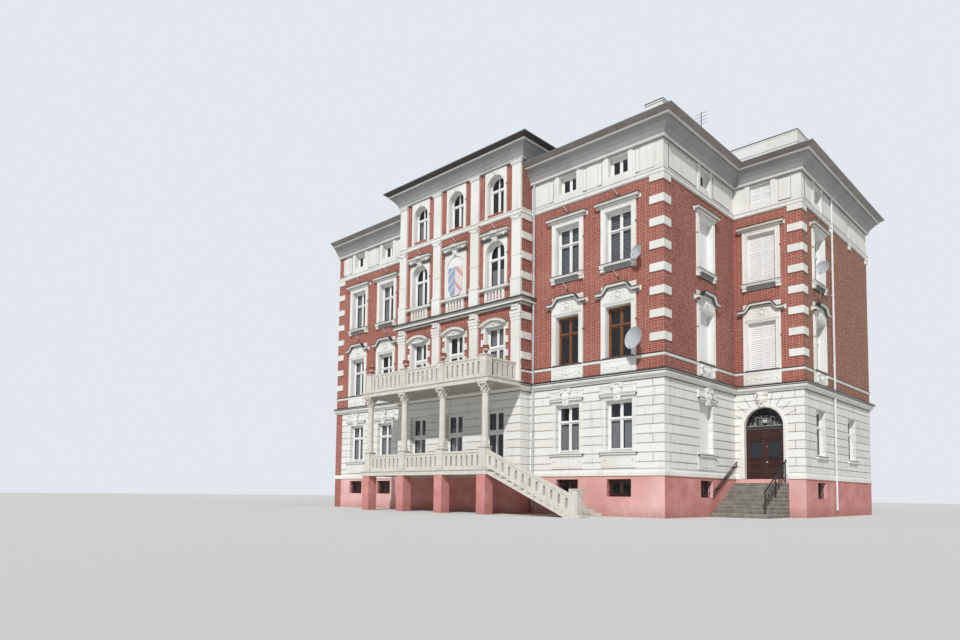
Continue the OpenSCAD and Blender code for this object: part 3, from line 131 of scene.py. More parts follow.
seen = add("Math", [rays, mirrored], operation="ADD", use_clamp=True)
both_skies = add("MixShader", [seen, sky.outputs[0], add("Background", {"Color": "#E3E8EE"})])
tree.links.new(both_skies, tree.nodes["World Output"].inputs["Surface"])


# The plinth is brick under cement render, painted rose with silicate paint. Rain and splash
# have darkened its foot, and the front's outer faces are painted lighter in patches, as painted sunlight.
def at(axis=None):
    """The place on the object in metres, or one coordinate of it."""
    place = add("TexCoord", out="Object")
    return add("SeparateXYZ", [place], axis) if axis else place


def facing(axis):
    """How far a face looks along an axis, from -1 to 1."""
    return add("SeparateXYZ", [add("NewGeometry", out="True Normal")], axis)


def product(*shares):
    """Shares multiplied with one another, so each holds only where the others do."""
    total = shares[0]
    for share in shares[1:]:
        total = add("Math", [total, share], operation="MULTIPLY")
    return total


def inside(value, low, high):
    """1 where a value lies between two limits, 0 elsewhere."""
    return product(add("Math", [value, low], operation="GREATER_THAN"),
                   add("Math", [value, high], operation="LESS_THAN"))


def clouds(scale, stretch=(1, 1, 1), detail=4.0, stops=(), of=None, roughness=0.55):
    """Cloudy noise of so many cells a metre, stretched, as a grey or spread over colours."""
    place = add("Mapping", {"Vector": of or at(), "Scale": stretch})
    grey = add("TexNoise", {"Vector": place, "Scale": scale, "Detail": detail, "Roughness": roughness})
    return add("ValToRGB", [grey], stops=stops) if stops else grey


def layered(colour, *layers):
    """Lays colours over one another; a layer is its share, its colour and a way of mixing."""
    for share, over, *way in layers:
        colour = add("Mix", {0: share, 6: colour, 7: over}, 2, data_type="RGBA", blend_type=(way or ["MIX"])[0])
    return colour


def finish_nodes(material, *names):
    """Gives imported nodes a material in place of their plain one."""
    for name in names:
        materials = bpy.data.objects[name].data.materials
        for i in range(len(materials)):
            materials[i] = material


rose_render = new_material("rose silicate paint on cement render")
off_axis = add("Math", [at("X")], operation="ABSOLUTE")
# painted sunlight: lighter patches on the faces that look to the front, away from the portico
painted_sunlight = product(inside(facing("Y"), -2, -0.7), inside(off_axis, 4.45, 99), 0.8)
splash = product(add("MapRange", [at("Z"), 0.0, 0.55, 1.0, 0.0]), clouds(5.0))
surface(layered(clouds(0.9, (1, 1, 1.6), stops=((0.30, "#BC7670"), (0.55, "#CC8A83"), (0.75, "#D69D96"))),
                (painted_sunlight, clouds(0.8, (1, 1, 0.6), 5.0, ((0.35, "#D59C96"), (0.68, "#E8C4C0")))),
                (splash, "#8C625B")),
        0.85, (clouds(160.0, detail=2.0), 0.0015, 0.6))    # 6 mm render grain
finish_nodes(rose_render, "plinth_walls", "plinth_side_walls")


# The ground storey and all mouldings are lime stucco, floated smooth and painted off-white.
# Run-off leaves faint grey streaks down it; the paint has a 2 mm orange peel, drawn at 3 mm.
# Faces that look down can be given painted shade, darker the more they look down.
STREAKS = 4.0, (1.6, 1.6, 0.16), 6.0                       # run-off, 160 mm wide and 1.6 m long
PEEL = 380.0                                               # cells of 2.6 mm


def stucco(name, light, shade, streak, underside_shade_share=0.0, underside_shade="#000000"):
    """Painted stucco in two shades with streaks, and painted shade on faces that look down where a share is given."""
    material = new_material(name)
    worn = product(clouds(*STREAKS, ((0.56, "#000000"), (0.78, "#FFFFFF"))), 0.5)
    colour = layered(clouds(0.7, (1, 1, 0.8), stops=((0.32, shade), (0.62, light))), (worn, streak))
    if underside_shade_share:
        colour = layered(colour, (add("MapRange", [facing("Z"), -0.35, -0.85, 0.0, underside_shade_share]), underside_shade))
    surface(colour, 0.8, (clouds(9.0, detail=2.0), 0.004, 0.5), (clouds(PEEL, detail=2.0), 0.0006, 0.5))
    return material


white_stucco = stucco("off-white painted lime stucco", "#E7E6E1", "#DCDAD2", "#B9B4A8")
finish_nodes(white_stucco, "frieze_walls", "frieze_side_walls", "roof_parapets", "quoins", "pilasters",
             "window_jambs", "window_hoods", "ground_window_trim")


# The upper storeys are faced in hard orange-red bricks, 250 x 65 mm with 12 mm pale lime
# joints. Stretchers and headers take turns from course to course, and the burnt headers are
# darker, so the wall looks woven. The side walls are of rougher, browner bricks.
def along_wall():
    """Object coordinates with x along the wall, whichever way it faces, and y up."""
    along = add("Mix", {0: inside(add("Math", [facing("X")], operation="ABSOLUTE"), 0.7, 2), 2: at("X"), 3: at("Y")})
    return add("CombineXYZ", {"X": along, "Y": at("Z")})


facing_brick = new_material("hard-burnt facing brick in lime mortar")
wall = along_wall()
courses, burnt = (add("TexBrick", {
    "Vector": wall, "Scale": 1.0, "Mortar Size": 0.0065, "Mortar Smooth": 0.3, "Bias": bias, "Brick Width": 0.262,
    "Row Height": 0.077, "Color1": first, "Color2": second, "Mortar": mortar},
    offset=0.25, offset_frequency=2, squash=0.5, squash_frequency=2)
    for bias, first, second, mortar in ((-0.1, "#B5503A", "#D47A60", "#E0CFC6"),
                                        (0.25, "#FFFFFF", "#9A8A88", "#FFFFFF")))
rough = clouds(4.2, (1, 2.4, 1), 5.0, ((0.42, "#5C4A40"), (0.50, "#A8927F"), (0.57, "#FFFFFF")), wall, 0.7)
side_on = add("Math", [facing("X")], operation="ABSOLUTE")
clay = layered(courses, (0.6, burnt, "MULTIPLY"),
               (0.7, clouds(0.5, detail=5.0, stops=((0.3, "#D8C7C0"), (0.7, "#FFFFFF"))), "MULTIPLY"),
               (product(side_on, add("MapRange", [at("X"), 10.9, 14.0, 0.25, 0.62])), rough, "MULTIPLY"),
               (product(side_on, add("MapRange", [at("X"), 13.0, 14.0, 0.0, 0.38])), "#A98468"),
               (0.22, rough, "MULTIPLY"))
surface(clay, 0.82, (courses.node.outputs["Fac"], 0.006, -0.6), (clouds(220.0, detail=2.0), 0.0008, 0.5))
finish_nodes(facing_brick, "brick_wall_front", "brick_wall_centre", "brick_wall_side", "brick_wall_back",
             "centre_attic_walls", "party_wall")

# The floors are boarded on joists; only their boards, 140 mm wide, show through the windows.
floor_boards = new_material("scrubbed pine floorboards")
planks = add("TexBrick", {"Vector": at(), "Scale": 1.0, "Mortar Size": 0.002, "Brick Width": 3.2, "Row Height": 0.14,
                          "Color1": "#8E6B47", "Color2": "#A27E56", "Mortar": "#3A2A1C"})
surface(layered(planks, (0.35, clouds(12.0, (0.3, 9, 1), stops=((0.3, "#7A5A3A"), (0.7, "#B8946A"))))), 0.55)
finish_nodes(floor_boards, "floors")


# The ground storey's walls are cut into blocks 373 mm high, like ashlar. The deep joints are in
# the wall itself; here their lines are painted grey, and darker and wider on the walls to the side
# street as painted shade. The far side wall alone has upright joints, 0.72 m apart.
ashlar_stucco = new_material("lime stucco scored as ashlar")
wall = add("Mapping", {"Vector": along_wall(), "Location": (0.35, -2.216, 0)})
# the walls to the side street, whose joints are painted darker and wider as painted shade
side = inside(facing("X"), 0.5, 2)
blocks = add("TexBrick", {
    "Vector": wall, "Scale": 1.0, "Mortar Smooth": 0.5, "Brick Width": 40.0, "Row Height": 0.373, "Bias": 0.0,
    "Color1": "#E8E7E2", "Color2": "#E0DED7", "Mortar": layered("#A3A4A6", (side, "#7F8083")),
    "Mortar Size": add("Math", [side, 0.006, 0.009], operation="MULTIPLY_ADD")})
upright = add("TexBrick", {
    "Vector": wall, "Scale": 1.0, "Mortar Size": 0.010, "Mortar Smooth": 0.4, "Brick Width": 0.72,
    "Row Height": 0.373, "Color1": "#FFFFFF", "Color2": "#F6F6F4", "Mortar": "#BFC0C2"})
surface(layered(blocks, (0.6, clouds(*STREAKS, ((0.55, "#FFFFFF"), (0.8, "#C9C5BB"))), "MULTIPLY"),
                (inside(at("X"), 14.03, 99), upright, "MULTIPLY")),
        0.8, (blocks.node.outputs["Fac"], 0.008, -0.7), (clouds(PEEL, detail=2.0), 0.0006, 0.5))
finish_nodes(ashlar_stucco, "ground_wall_front", "ground_wall_centre", "ground_wall_side", "ground_wall_back",
             "door_wall_piers", "door_wall_arch")


# The base moulding: a run of stucco over the plinth, rounded off at its top. It stops at the
# terrace and at the side door.
UP, OUT, ACROSS = (0, 0, 1), (0, -1, 0), (1, 0, 0)         # in a wall's own coordinates
PARTY_X, CENTRE_X, RETURN_X, SIDE_X = -11.0, 4.27, 11.0, 14.05
CENTRE_Y, FRONT_Y, WING_Y, BACK_Y = -0.30, 0.42, 7.02, 17.12


def sweep(form, profile, path, normal=UP, closed=False):
    """Carries a closed profile of (outward, along the normal) pairs along a path with mitres."""
    path, normal = [Vector(p) for p in path], Vector(normal)
    last = len(path) - 1
    stations = []
    for i, here in enumerate(path):
        sides = []
        if closed or i:
            sides.append((here - path[i - 1]).normalized().cross(normal))
        if closed or i < last:
            sides.append((path[(i + 1) % len(path)] - here).normalized().cross(normal))
        side = (sides[0] + sides[-1]).normalized()
        stations.append((here, side / max(side.dot(sides[0]), 0.35)))
    if closed:
        stations.append(stations[0])
    here, side = stations[0]
    ring = [form.verts.new(here + side * a + normal * b) for a, b in profile]
    first = ring
    edges = [form.edges.new((ring[i - 1], ring[i])) for i in range(len(ring))]
    first_edges = list(edges)
    for here, side in stations[1:]:
        made = bmesh.ops.extrude_edge_only(form, edges=edges)["geom"]
        fresh = {v for v in made if isinstance(v, bmesh.types.BMVert)}
        ring = [next(e.other_vert(v) for e in v.link_edges if e.other_vert(v) in fresh) for v in ring]
        for v, (a, b) in zip(ring, profile):
            v.co = here + side * a + normal * b
        edges = [form.edges.get((ring[i - 1], ring[i])) for i in range(len(ring))]
    if closed:
        bmesh.ops.remove_doubles(form, verts=first + ring, dist=1e-5)
    else:
        bmesh.ops.contextual_create(form, geom=first_edges)
        bmesh.ops.contextual_create(form, geom=edges)


def piece(name, form, material, body="building", smooth=35):
    """Makes a finished form one object at the origin that rides on a body."""
    bmesh.ops.recalc_face_normals(form, faces=list(form.faces))
    mesh = bpy.data.meshes.new(name)
    form.to_mesh(mesh)
    form.free()
    mesh.materials.append(material)
    mesh.shade_smooth()
    mesh.set_sharp_from_angle(angle=math.radians(smooth))
    made = bpy.data.objects.new(name, mesh)
    bpy.context.scene.collection.objects.link(made)
    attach(made, body)
    return made


AROUND_WING = ((RETURN_X, FRONT_Y, 0), (RETURN_X, WING_Y, 0))
AROUND_BACK = ((SIDE_X, WING_Y, 0), (SIDE_X, BACK_Y, 0), (PARTY_X, BACK_Y, 0))
LEFT_PART = ((PARTY_X, FRONT_Y, 0), (-CENTRE_X, FRONT_Y, 0))
form = bmesh.new()
base = [(0, 1.67), (0.045, 1.67), (0.045, 1.80), (0.036, 1.84), (0.015, 1.87), (0, 1.88)]
for path in (LEFT_PART, ((CENTRE_X, FRONT_Y, 0),) + AROUND_WING + ((11.22, WING_Y, 0),),
             ((13.33, WING_Y, 0),) + AROUND_BACK):
    sweep(form, base, path)
piece("base_moulding", form, white_stucco)

# Weathered dark grey sheet zinc covers the top of every cornice, string and hood, with a
# folded drip edge that stands a little proud.
weathered_zinc = new_material("weathered sheet zinc")
surface(clouds(3.0, detail=6.0, stops=((0.3, "#252526"), (0.7, "#3E3D3C"))), 0.5, (clouds(6.0), 0.003, 0.4),
        more={"Metallic": 0.35})
CENTRE_PART = ((-CENTRE_X, FRONT_Y, 0), (-CENTRE_X, CENTRE_Y, 0), (CENTRE_X, CENTRE_Y, 0), (CENTRE_X, FRONT_Y, 0))
ROUND = LEFT_PART[:1] + CENTRE_PART + AROUND_WING + AROUND_BACK
form = bmesh.new()
for z, out, drop in ((5.88, 0.22, 0.055), (6.54, 0.045, 0.022), (13.99, 0.07, 0.022)):
    sweep(form, [(0, z), (out + 0.002, z), (out + 0.008, z - drop), (out + 0.014, z - drop), (out + 0.008, z + 0.008),
                 (0, z + 0.025)], ROUND)
sweep(form, [(0, 9.83), (0.322, 9.83), (0.328, 9.785), (0.334, 9.785), (0.328, 9.838), (0, 9.86)], CENTRE_PART)
piece("cornice_flashings", form, weathered_zinc)

# Run mouldings in the cornices: ovolos and fillets drawn in stucco with a template. The string
# courses that carry them have painted shade on their undersides.
form = bmesh.new()
for moulding in (((0.06, 5.58), (0.075, 5.58), (0.08, 5.60), (0.10, 5.62), (0.13, 5.655), (0.15, 5.668), (0.155, 5.672),
                  (0.06, 5.672)),
                 ((0.17, 5.70), (0.182, 5.705), (0.186, 5.72), (0.182, 5.735), (0.17, 5.74)),
                 ((0.0, 6.40), (0.02, 6.40), (0.04, 6.43), (0.04, 6.445), (0, 6.445)),
                 ((0.07, 13.93), (0.10, 13.955), (0.10, 13.99), (0.07, 13.99)),
                 ((0.0, 13.76), (0.035, 13.76), (0.06, 13.80), (0.06, 13.83), (0, 13.83))):
    sweep(form, moulding, ROUND)
piece("string_fillets", form, white_stucco)
string_stucco = stucco("painted lime stucco of the string courses", "#E7E6E1", "#DCDAD2", "#B9B4A8", 0.85, "#6B6560")
finish_nodes(string_stucco, "string_courses")

# Gutters and the roof's edge: sheet metal on boards. The gutter's face is painted grey-brown
# with a dark rim, and a black strip over the edge hides the nails.
gutter_paint = new_material("grey-brown painted sheet metal")
surface(layered(clouds(1.5, (1, 1, 3), 6.0, ((0.3, "#857E77"), (0.7, "#9B948C"))),
                (add("MapRange", [at("Z"), 16.03, 16.12, 0.0, 0.9]), "#2C2A28")), 0.6, (clouds(4.0), 0.004, 0.5))
finish_nodes(gutter_paint, "gutters")
edge_strip = new_material("black bitumen-painted edge strip")
surface(clouds(6.0, stops=((0.3, "#1B1B1B"), (0.7, "#2E2C2A"))), 0.45)
EAVES = LEFT_PART, ((CENTRE_X, FRONT_Y, 0),) + AROUND_WING + AROUND_BACK
CENTRE_EAVES = ((-CENTRE_X, 1.6, 0), (-CENTRE_X, CENTRE_Y, 0), (CENTRE_X, CENTRE_Y, 0), (CENTRE_X, 1.6, 0))
CENTRE_RISE = 1.06                                         # the centre block's eaves are higher
form = bmesh.new()
for path, up in [(path, 0) for path in EAVES] + [(CENTRE_EAVES, CENTRE_RISE)]:
    sweep(form, [(0.70, 16.088 + up), (0.758, 16.062 + up), (0.758, 16.085 + up), (0.74, 16.10 + up),
                 (0.70, 16.105 + up)], path)
piece("roof_edge_strip", form, edge_strip)

# The roof is patinated zinc with standing seams every 0.6 m up its slopes, front and back.
roof_zinc = new_material("patinated roofing zinc")
sheets = add("TexBrick", {"Vector": at(), "Scale": 1.0, "Mortar Size": 0.004, "Brick Width": 2.0, "Row Height": 0.6,
                          "Color1": "#6E7377", "Color2": "#7C8184", "Mortar": "#55595C"})
surface(layered(sheets, (0.5, clouds(2.0, detail=6.0, stops=((0.3, "#6A6F72"), (0.7, "#8E9396"))))), 0.55,
        more={"Metallic": 0.4})
finish_nodes(roof_zinc, "roof")
SEAM = [(-0.012, 0), (0.012, 0), (0.008, 0.03), (-0.008, 0.03)]
FALL = 0.1439                                              # the slopes' rise in a metre
form = bmesh.new()
for i in range(34):
    x = -10.6 + 0.6 * i
    high = min(RETURN_X - x, 8.1)
    for wall, way in ((FRONT_Y, 1), (BACK_Y, -1)):
        if high > 1.4 and (way < 0 or abs(x) > 4.3):
            sweep(form, SEAM, [(x, wall + way * 1.4, 16.2), (x, wall + way * high, 16.2 + (high - 1.4) * FALL)])
for i in range(14):
    sweep(form, SEAM, [(-3.9 + 0.6 * i, 0.30, 17.29), (-3.9 + 0.6 * i, 1.62, 17.29)])
piece("roof_seams", form, roof_zinc)

# The main cornice's bead and the fillet over the frieze. The cornice itself is painted grey as painted shade, darker
# where it faces down.
form = bmesh.new()
bead = [(0.49, 15.855), (0.545, 15.845), (0.565, 15.87), (0.555, 15.905), (0.50, 15.915)]
for path in EAVES:
    sweep(form, bead, path)
    sweep(form, [(0.08, 15.20), (0.10, 15.205), (0.125, 15.235), (0.14, 15.24), (0.14, 15.275), (0.08, 15.275)], path)
sweep(form, [(a, z + CENTRE_RISE) for a, z in bead], CENTRE_EAVES)
piece("cornice_bead", form, white_stucco)
soffit_shade = stucco("soffit stucco in painted shade", "#BDBCBB", "#A9A8A7", "#8F8D8A", 0.75, "#6E6C6D")
finish_nodes(soffit_shade, "main_cornice")


# Parapet caps and chimney cap: black bitumen sheet folded over the coping.
def block(form, low, high, ease=0.004):
    """A block between two corners with its edges eased."""
    made = bmesh.ops.create_cube(form, size=1.0)["verts"]
    bmesh.ops.scale(form, vec=[b - a for a, b in zip(low, high)], verts=made)
    bmesh.ops.translate(form, vec=[(a + b) / 2 for a, b in zip(low, high)], verts=made)
    edges = list({e for v in made for e in v.link_edges})
    bmesh.ops.bevel(form, geom=edges, offset=ease, segments=1, profile=0.5, affect="EDGES", material=-1)


form = bmesh.new()
for x0, x1, y0, y1, z in ((10.40, 13.70, 7.72, 16.42, 17.50), (9.01, 9.83, 2.55, 3.25, 18.22)):
    for xa, xb, ya, yb in ((x0 - 0.05, x1 + 0.05, y0 - 0.05, y0 + 0.28), (x0 - 0.05, x1 + 0.05, y1 - 0.28, y1 + 0.05),
                           (x0 - 0.05, x0 + 0.28, y0 + 0.28, y1 - 0.28), (x1 - 0.28, x1 + 0.05, y0 + 0.28, y1 - 0.28)):
        block(form, (xa, ya, z - 0.035), (xb, yb, z + 0.012), 0.006)
piece("parapet_caps", form, edge_strip)


# Windows. Frames and casements are softwood, painted white; the two first storey windows at
# the right of the front still show oak-brown stain, and the cellar's are dark red-brown.
window_white = new_material("white linseed paint on softwood")
stained = product(inside(at("X"), 5.0, 10.0), inside(at("Z"), 6.5, 9.0), inside(at("Y"), 0.4, 1.2))
brushed = clouds(40.0, (1, 1, 0.1))
surface(layered(add("ValToRGB", [brushed], stops=((0.3, "#E2E2DF"), (0.7, "#EDEDEA"))),
                (stained, clouds(30.0, (1, 1, 0.12), 6.0, ((0.3, "#5F3A20"), (0.7, "#8A5A34")))),
                (inside(at("Z"), -1, 1.7), "#4A2A24")), 0.4, (brushed, 0.0008, 0.5))
finish_nodes(window_white, "ground_windows", "upper_windows", "small_windows")
float_glass = new_material("old cylinder-blown window glass")
surface("#141C24", 0.04, (clouds(2.5, (1, 1, 0.4), 1.0), 0.01, 0.15),
        more={"IOR": 1.5, "Specular IOR Level": 0.9, "Alpha": 0.36})
finish_nodes(float_glass, "window_glass")


def on_wall(x, y, turn=0):
    """A place at the foot of a wall: x to its right and y into it, turned by so many degrees."""
    return Matrix.Translation((x, y, 0)) @ Matrix.Rotation(math.radians(turn), 4, "Z")


CENTRE_BAYS, SIDE_BAYS, DOOR_X = (-2.67, 0.0, 2.67), (6.335, 8.935), 12.275
FRONT_LEFT, FRONT_RIGHT = ([on_wall(way * x, FRONT_Y) for x in SIDE_BAYS[::way]] for way in (-1, 1))
FRONT = FRONT_LEFT + FRONT_RIGHT
CENTRE = [on_wall(x, CENTRE_Y) for x in CENTRE_BAYS]
RETURN = [on_wall(RETURN_X, 4.07, 90)]
WING = [on_wall(DOOR_X, WING_Y)]
SIDE = [on_wall(SIDE_X, 9.12, 90)]
SIDE_BOTH = SIDE + [on_wall(SIDE_X, 13.82, 90)]
BACK = [on_wall(x, BACK_Y, 180) for x in (-8.935, -6.335) + SIDE_BAYS + CENTRE_BAYS]
MAIN = FRONT + RETURN + WING + SIDE
GROUND, FIRST, SECOND = (1.25, 2.70, 2.10), (1.24, 6.555, 2.19), (1.26, 10.58, 2.24)   # width, foot and height
ATTIC, CELLAR, FRENCH = (0.95, 14.33, 0.78), (1.15, 0.82, 0.72), (1.20, 1.95, 2.82)
BALCONY, ARCHED, TOP = (1.20, 5.95, 2.79), (1.20, 10.58, 2.24), (1.05, 14.18, 1.83)


def stamp(form, template, places):
    """Copies a template form to each place, which is a matrix, and frees it."""
    mesh = bpy.data.meshes.new("template")
    for place in places:
        template.to_mesh(mesh)
        mesh.transform(place)
        form.from_mesh(mesh)
    bpy.data.meshes.remove(mesh)
    template.free()


def casement(form, x0, x1, z0, z1, arch=0.0):
    """One sash inside its frame: stiles and rails with a putty bevel, under an arch if it has one."""
    path = [(x0 + 0.022, 0.250, z0 + 0.022), (x0 + 0.022, 0.250, z1 - 0.022),
            (x1 - 0.022, 0.250, z1 - 0.022), (x1 - 0.022, 0.250, z0 + 0.022)]
    if arch:                                               # z1 is the springing, arch the radius inside the frame
        r = arch - 0.022
        first, last = math.asin((x0 + 0.022) / r), math.asin((x1 - 0.022) / r)
        path[1:3] = [(r * math.sin(a), 0.250, z1 + r * math.cos(a))
                     for a in (first + (last - first) * i / 9 for i in range(10))]
    sweep(form, [(-0.022, -0.005), (-0.022, 0.018), (0.010, 0.018), (0.024, 0.004), (0.024, -0.005)],
          path, OUT, closed=True)


def casements(width, foot, height, transom=0.64, bar=0.06, arch=False):
    """The sashes, weather bars and putty of one window, in its own wall's coordinates."""
    form = bmesh.new()
    half = width / 2 - 0.075
    top = foot + height - (width / 2 if arch else 0.075)
    level = foot + transom * height
    if arch:                                               # the arched frame's thick transom
        block(form, (-half, 0.196, level - 0.06), (half, 0.224, level + 0.06), 0.008)
    rows = [(foot + 0.075, level - bar / 2), (level + bar / 2, top)] if transom else [(foot + 0.075, top)]
    for low, high in rows:
        if high - low > 0.12:                              # a lower lunette has plain glass
            for x0, x1 in ((-half, -0.03), (0.03, half)):
                casement(form, x0, x1, low, high, half if arch and high == top else 0.0)
    if transom:                                            # the transom's drip moulding
        block(form, (-half, 0.185, level - 0.02), (half, 0.222, level + 0.028), 0.008)
        block(form, (-0.028, 0.200, foot + 0.08), (0.028, 0.222, level - 0.02), 0.007)
    block(form, (-half, 0.165, foot + 0.062), (half, 0.222, foot + 0.088), 0.007)
    return form


for name, places, sizes in (
        ("ground_sashes", FRONT + SIDE_BOTH + BACK, GROUND), ("first_storey_sashes", FRONT_LEFT + SIDE + BACK, FIRST),
        ("brown_sashes", FRONT_RIGHT, FIRST), ("second_storey_sashes", FRONT + SIDE + BACK, SECOND),
        ("attic_sashes", FRONT + SIDE + RETURN + BACK, (*ATTIC, 0)),
        ("cellar_sashes", FRONT + SIDE + RETURN + BACK, (*CELLAR, 0)),
        ("french_windows", CENTRE, (*FRENCH, 0.64, 0.15)), ("balcony_windows", CENTRE, (*BALCONY, 0.64, 0.15)),
        ("arched_sashes", CENTRE[::2], (*ARCHED, 0.64, 0.06, True)), ("top_sashes", CENTRE, (*TOP, 0.64, 0.06, True))):
    form = bmesh.new()
    stamp(form, casements(*sizes), places)
    piece(name, form, window_white)


# The reveals of the upper openings are plastered and painted white. Over each brick wall the
# plaster turns out over the edge of the surround.
def opening_line(width, foot, height, arch=False, grow=0.0, steps=14):
    """Up the left side of an opening, over its head and down the right side."""
    half = width / 2 + grow
    spring = foot + height - (width / 2 if arch else -grow)
    line = [(-half, 0, foot), (-half, 0, spring)]
    if arch:
        line += [(-half * math.cos(math.pi * i / steps), 0, spring + half * math.sin(math.pi * i / steps))
                 for i in range(1, steps)]
    return line + [(half, 0, spring), (half, 0, foot)]


form = bmesh.new()
for places, sizes in ((MAIN + BACK, FIRST), (MAIN + BACK, SECOND), (CENTRE, BALCONY), (CENTRE[::2], (*ARCHED, True)),
                      (CENTRE, (*TOP, True))):
    template = bmesh.new()
    sweep(template, [(-0.001, -0.218), (0.010, -0.218), (0.010, 0.0), (0.004, 0.004), (-0.001, 0.004)],
          opening_line(*sizes), OUT)
    stamp(form, template, places)
reveal_plaster = stucco("off-white painted reveal plaster", "#E9E8E6", "#DFDDDA", "#C4BFB6")
piece("reveal_linings", form, reveal_plaster)

# Surrounds: on each flat strip of stucco an outer fillet and an inner bead are run, and the
# shutter catches of black iron are left on both sides.
form, catches = bmesh.new(), bmesh.new()
for places, sizes, strip in ((MAIN, FIRST, 0.22), (MAIN, SECOND, 0.22), (CENTRE[::2], (*ARCHED, True), 0.15),
                             (CENTRE, (*TOP, True), 0.15)):
    template = bmesh.new()
    if strip > 0.2:
        sweep(template, [(-0.035, 0.055), (-0.035, 0.074), (-0.028, 0.080), (0.028, 0.080), (0.035, 0.074),
                         (0.035, 0.055)], opening_line(*sizes, grow=strip - 0.045), OUT)
    sweep(template, [(-0.016, 0.055), (-0.016, 0.066), (0.0, 0.074), (0.016, 0.066), (0.016, 0.055)],
          opening_line(*sizes, grow=0.025), OUT)
    stamp(form, template, places)
    template = bmesh.new()
    for s in (-1, 1):
        x, z = s * (sizes[0] / 2 + strip + 0.012), sizes[1] + 0.68 * sizes[2]
        block(template, (x - 0.012, -0.075, z), (x + 0.012, 0.0, z + 0.016), 0.003)
        block(template, (x - 0.02, -0.09, z - 0.045), (x + 0.02, -0.072, z + 0.03), 0.006)
    stamp(catches, template, places)
piece("surround_mouldings", form, white_stucco)
black_iron = new_material("black-painted wrought iron")
surface(clouds(14.0, detail=5.0, stops=((0.45, "#16161A"), (0.8, "#3A302B"))), 0.45,
        (clouds(90.0, detail=2.0), 0.0008, 0.5))
finish_nodes(black_iron, "side_railings")
piece("shutter_catches", catches, black_iron)


# Second storey hoods and sills: a sloping crown moulding under a zinc cover, and under the
# sill a cavetto between two scrolled brackets; the cavetto and a band under the hood are dark grey, as painted shade.
def around(form, width, out, profile):
    """Runs a profile round the front and both ends of a ledge on a wall."""
    half = width / 2
    sweep(form, profile, [(-half, 0, 0), (-half, -out, 0), (half, -out, 0), (half, 0, 0)])


def turned(form, profile, centre=(0, 0, 0), steps=24, axis=UP, out=ACROSS, squeeze=Matrix()):
    """Spins a profile of (radius, distance along the axis) pairs that starts and ends on it."""
    shape = bmesh.new()
    axis, out = Vector(axis), Vector(out)
    verts = [shape.verts.new(out * r + axis * h) for r, h in profile]
    edges = [shape.edges.new(pair) for pair in zip(verts, verts[1:])]
    bmesh.ops.spin(shape, geom=verts + edges, cent=(0, 0, 0), axis=axis, angle=math.tau, steps=steps,
                   use_merge=True)
    bmesh.ops.remove_doubles(shape, verts=shape.verts[:], dist=1e-5)
    stamp(form, shape, [Matrix.Translation(centre) @ squeeze])


def roll(form, radii, halves, spot, steps):
    """A scroll's roll along the wall: its radius and end radius, half its length and to the ease."""
    (r, r_end), (half, eased) = radii, halves
    turned(form, [(0, -half), (r_end, -half), (r, -eased), (r, eased), (r_end, half), (0, half)], spot, steps,
           ACROSS, UP)


def boss(form, profile, spot, steps):
    """A round boss: the profile is turned on an axis that stands out of the wall."""
    turned(form, profile, spot, steps, OUT, ACROSS)


form, covers, shade_sheets = bmesh.new(), bmesh.new(), bmesh.new()
hood, cover, grey = bmesh.new(), bmesh.new(), bmesh.new()
around(hood, 2.05, 0.219, [(-0.01, 13.125), (0.004, 13.125), (0.012, 13.145), (0.035, 13.185), (0.040, 13.200),
                           (-0.01, 13.200)])
around(hood, 1.73, 0.099, [(-0.01, 13.05), (0.02, 13.05), (0.03, 13.075), (0.06, 13.10), (0.06, 13.115),
                           (-0.01, 13.115)])
block(cover, (-1.075, -0.275, 13.200), (1.075, 0.0, 13.232), 0.006)
around(grey, 1.90, 0.17, [(-0.17, 13.085), (0.030, 13.104), (0.030, 13.116), (-0.17, 13.116)])
around(hood, 1.74, 0.13, [(-0.01, 10.50), (0.012, 10.50), (0.022, 10.52), (0.022, 10.565), (-0.01, 10.565)])
block(cover, (-0.895, -0.172, 10.564), (0.895, 0.0, 10.588), 0.005)
sweep(grey, [(0.0, 10.25), (0.045, 10.25), (0.055, 10.33), (0.09, 10.40), (0.10, 10.468), (0.0, 10.468)],
      [(-0.655, 0, 0), (0.655, 0, 0)])
for s in (-1, 1):
    roll(hood, (0.052, 0.045), (0.10, 0.09), (s * 0.755, -0.112, 10.415), 14)
    roll(hood, (0.035, 0.03), (0.085, 0.08), (s * 0.755, -0.095, 10.275), 12)
    block(hood, (s * 0.755 - 0.07, -0.116, 10.30), (s * 0.755 + 0.07, -0.09, 10.40), 0.01)
for whole, template in ((form, hood), (covers, cover), (shade_sheets, grey)):
    stamp(whole, template, MAIN)

# First storey hoods: the crown runs in a curve over a generic boss in a wreath, all under a
# zinc cover; a thin ledge crosses the tympanum and a zinc sill lies on the string course.
hood, cover, grey = bmesh.new(), bmesh.new(), bmesh.new()
HEAD, BOSS_Z = 9.235, 9.15
curve = [(-1.025, 0.0)] + [(-1.025 + 0.27 + 0.33 * i / 8, 0.15 * (1 - math.cos(math.pi * i / 8)))
                           for i in range(9)]
curve += [(-x, z) for x, z in reversed(curve)]
line, high = ([(x, 0, HEAD + z + up) for x, z in curve] for up in (0, 0.10))
sweep(cover, [(-0.014, 0.0), (-0.014, 0.262), (0.018, 0.262), (0.018, 0.252), (0.0, 0.250), (0.0, 0.0)], high, OUT)
sweep(hood, [(0.002, 0.215), (0.002, 0.248), (0.030, 0.246), (0.045, 0.222), (0.045, 0.215)], high, OUT)
sweep(hood, [(-0.028, 0.215), (-0.028, 0.228), (-0.008, 0.234), (0.012, 0.216), (0.012, 0.15), (-0.01, 0.15)],
      line, OUT)
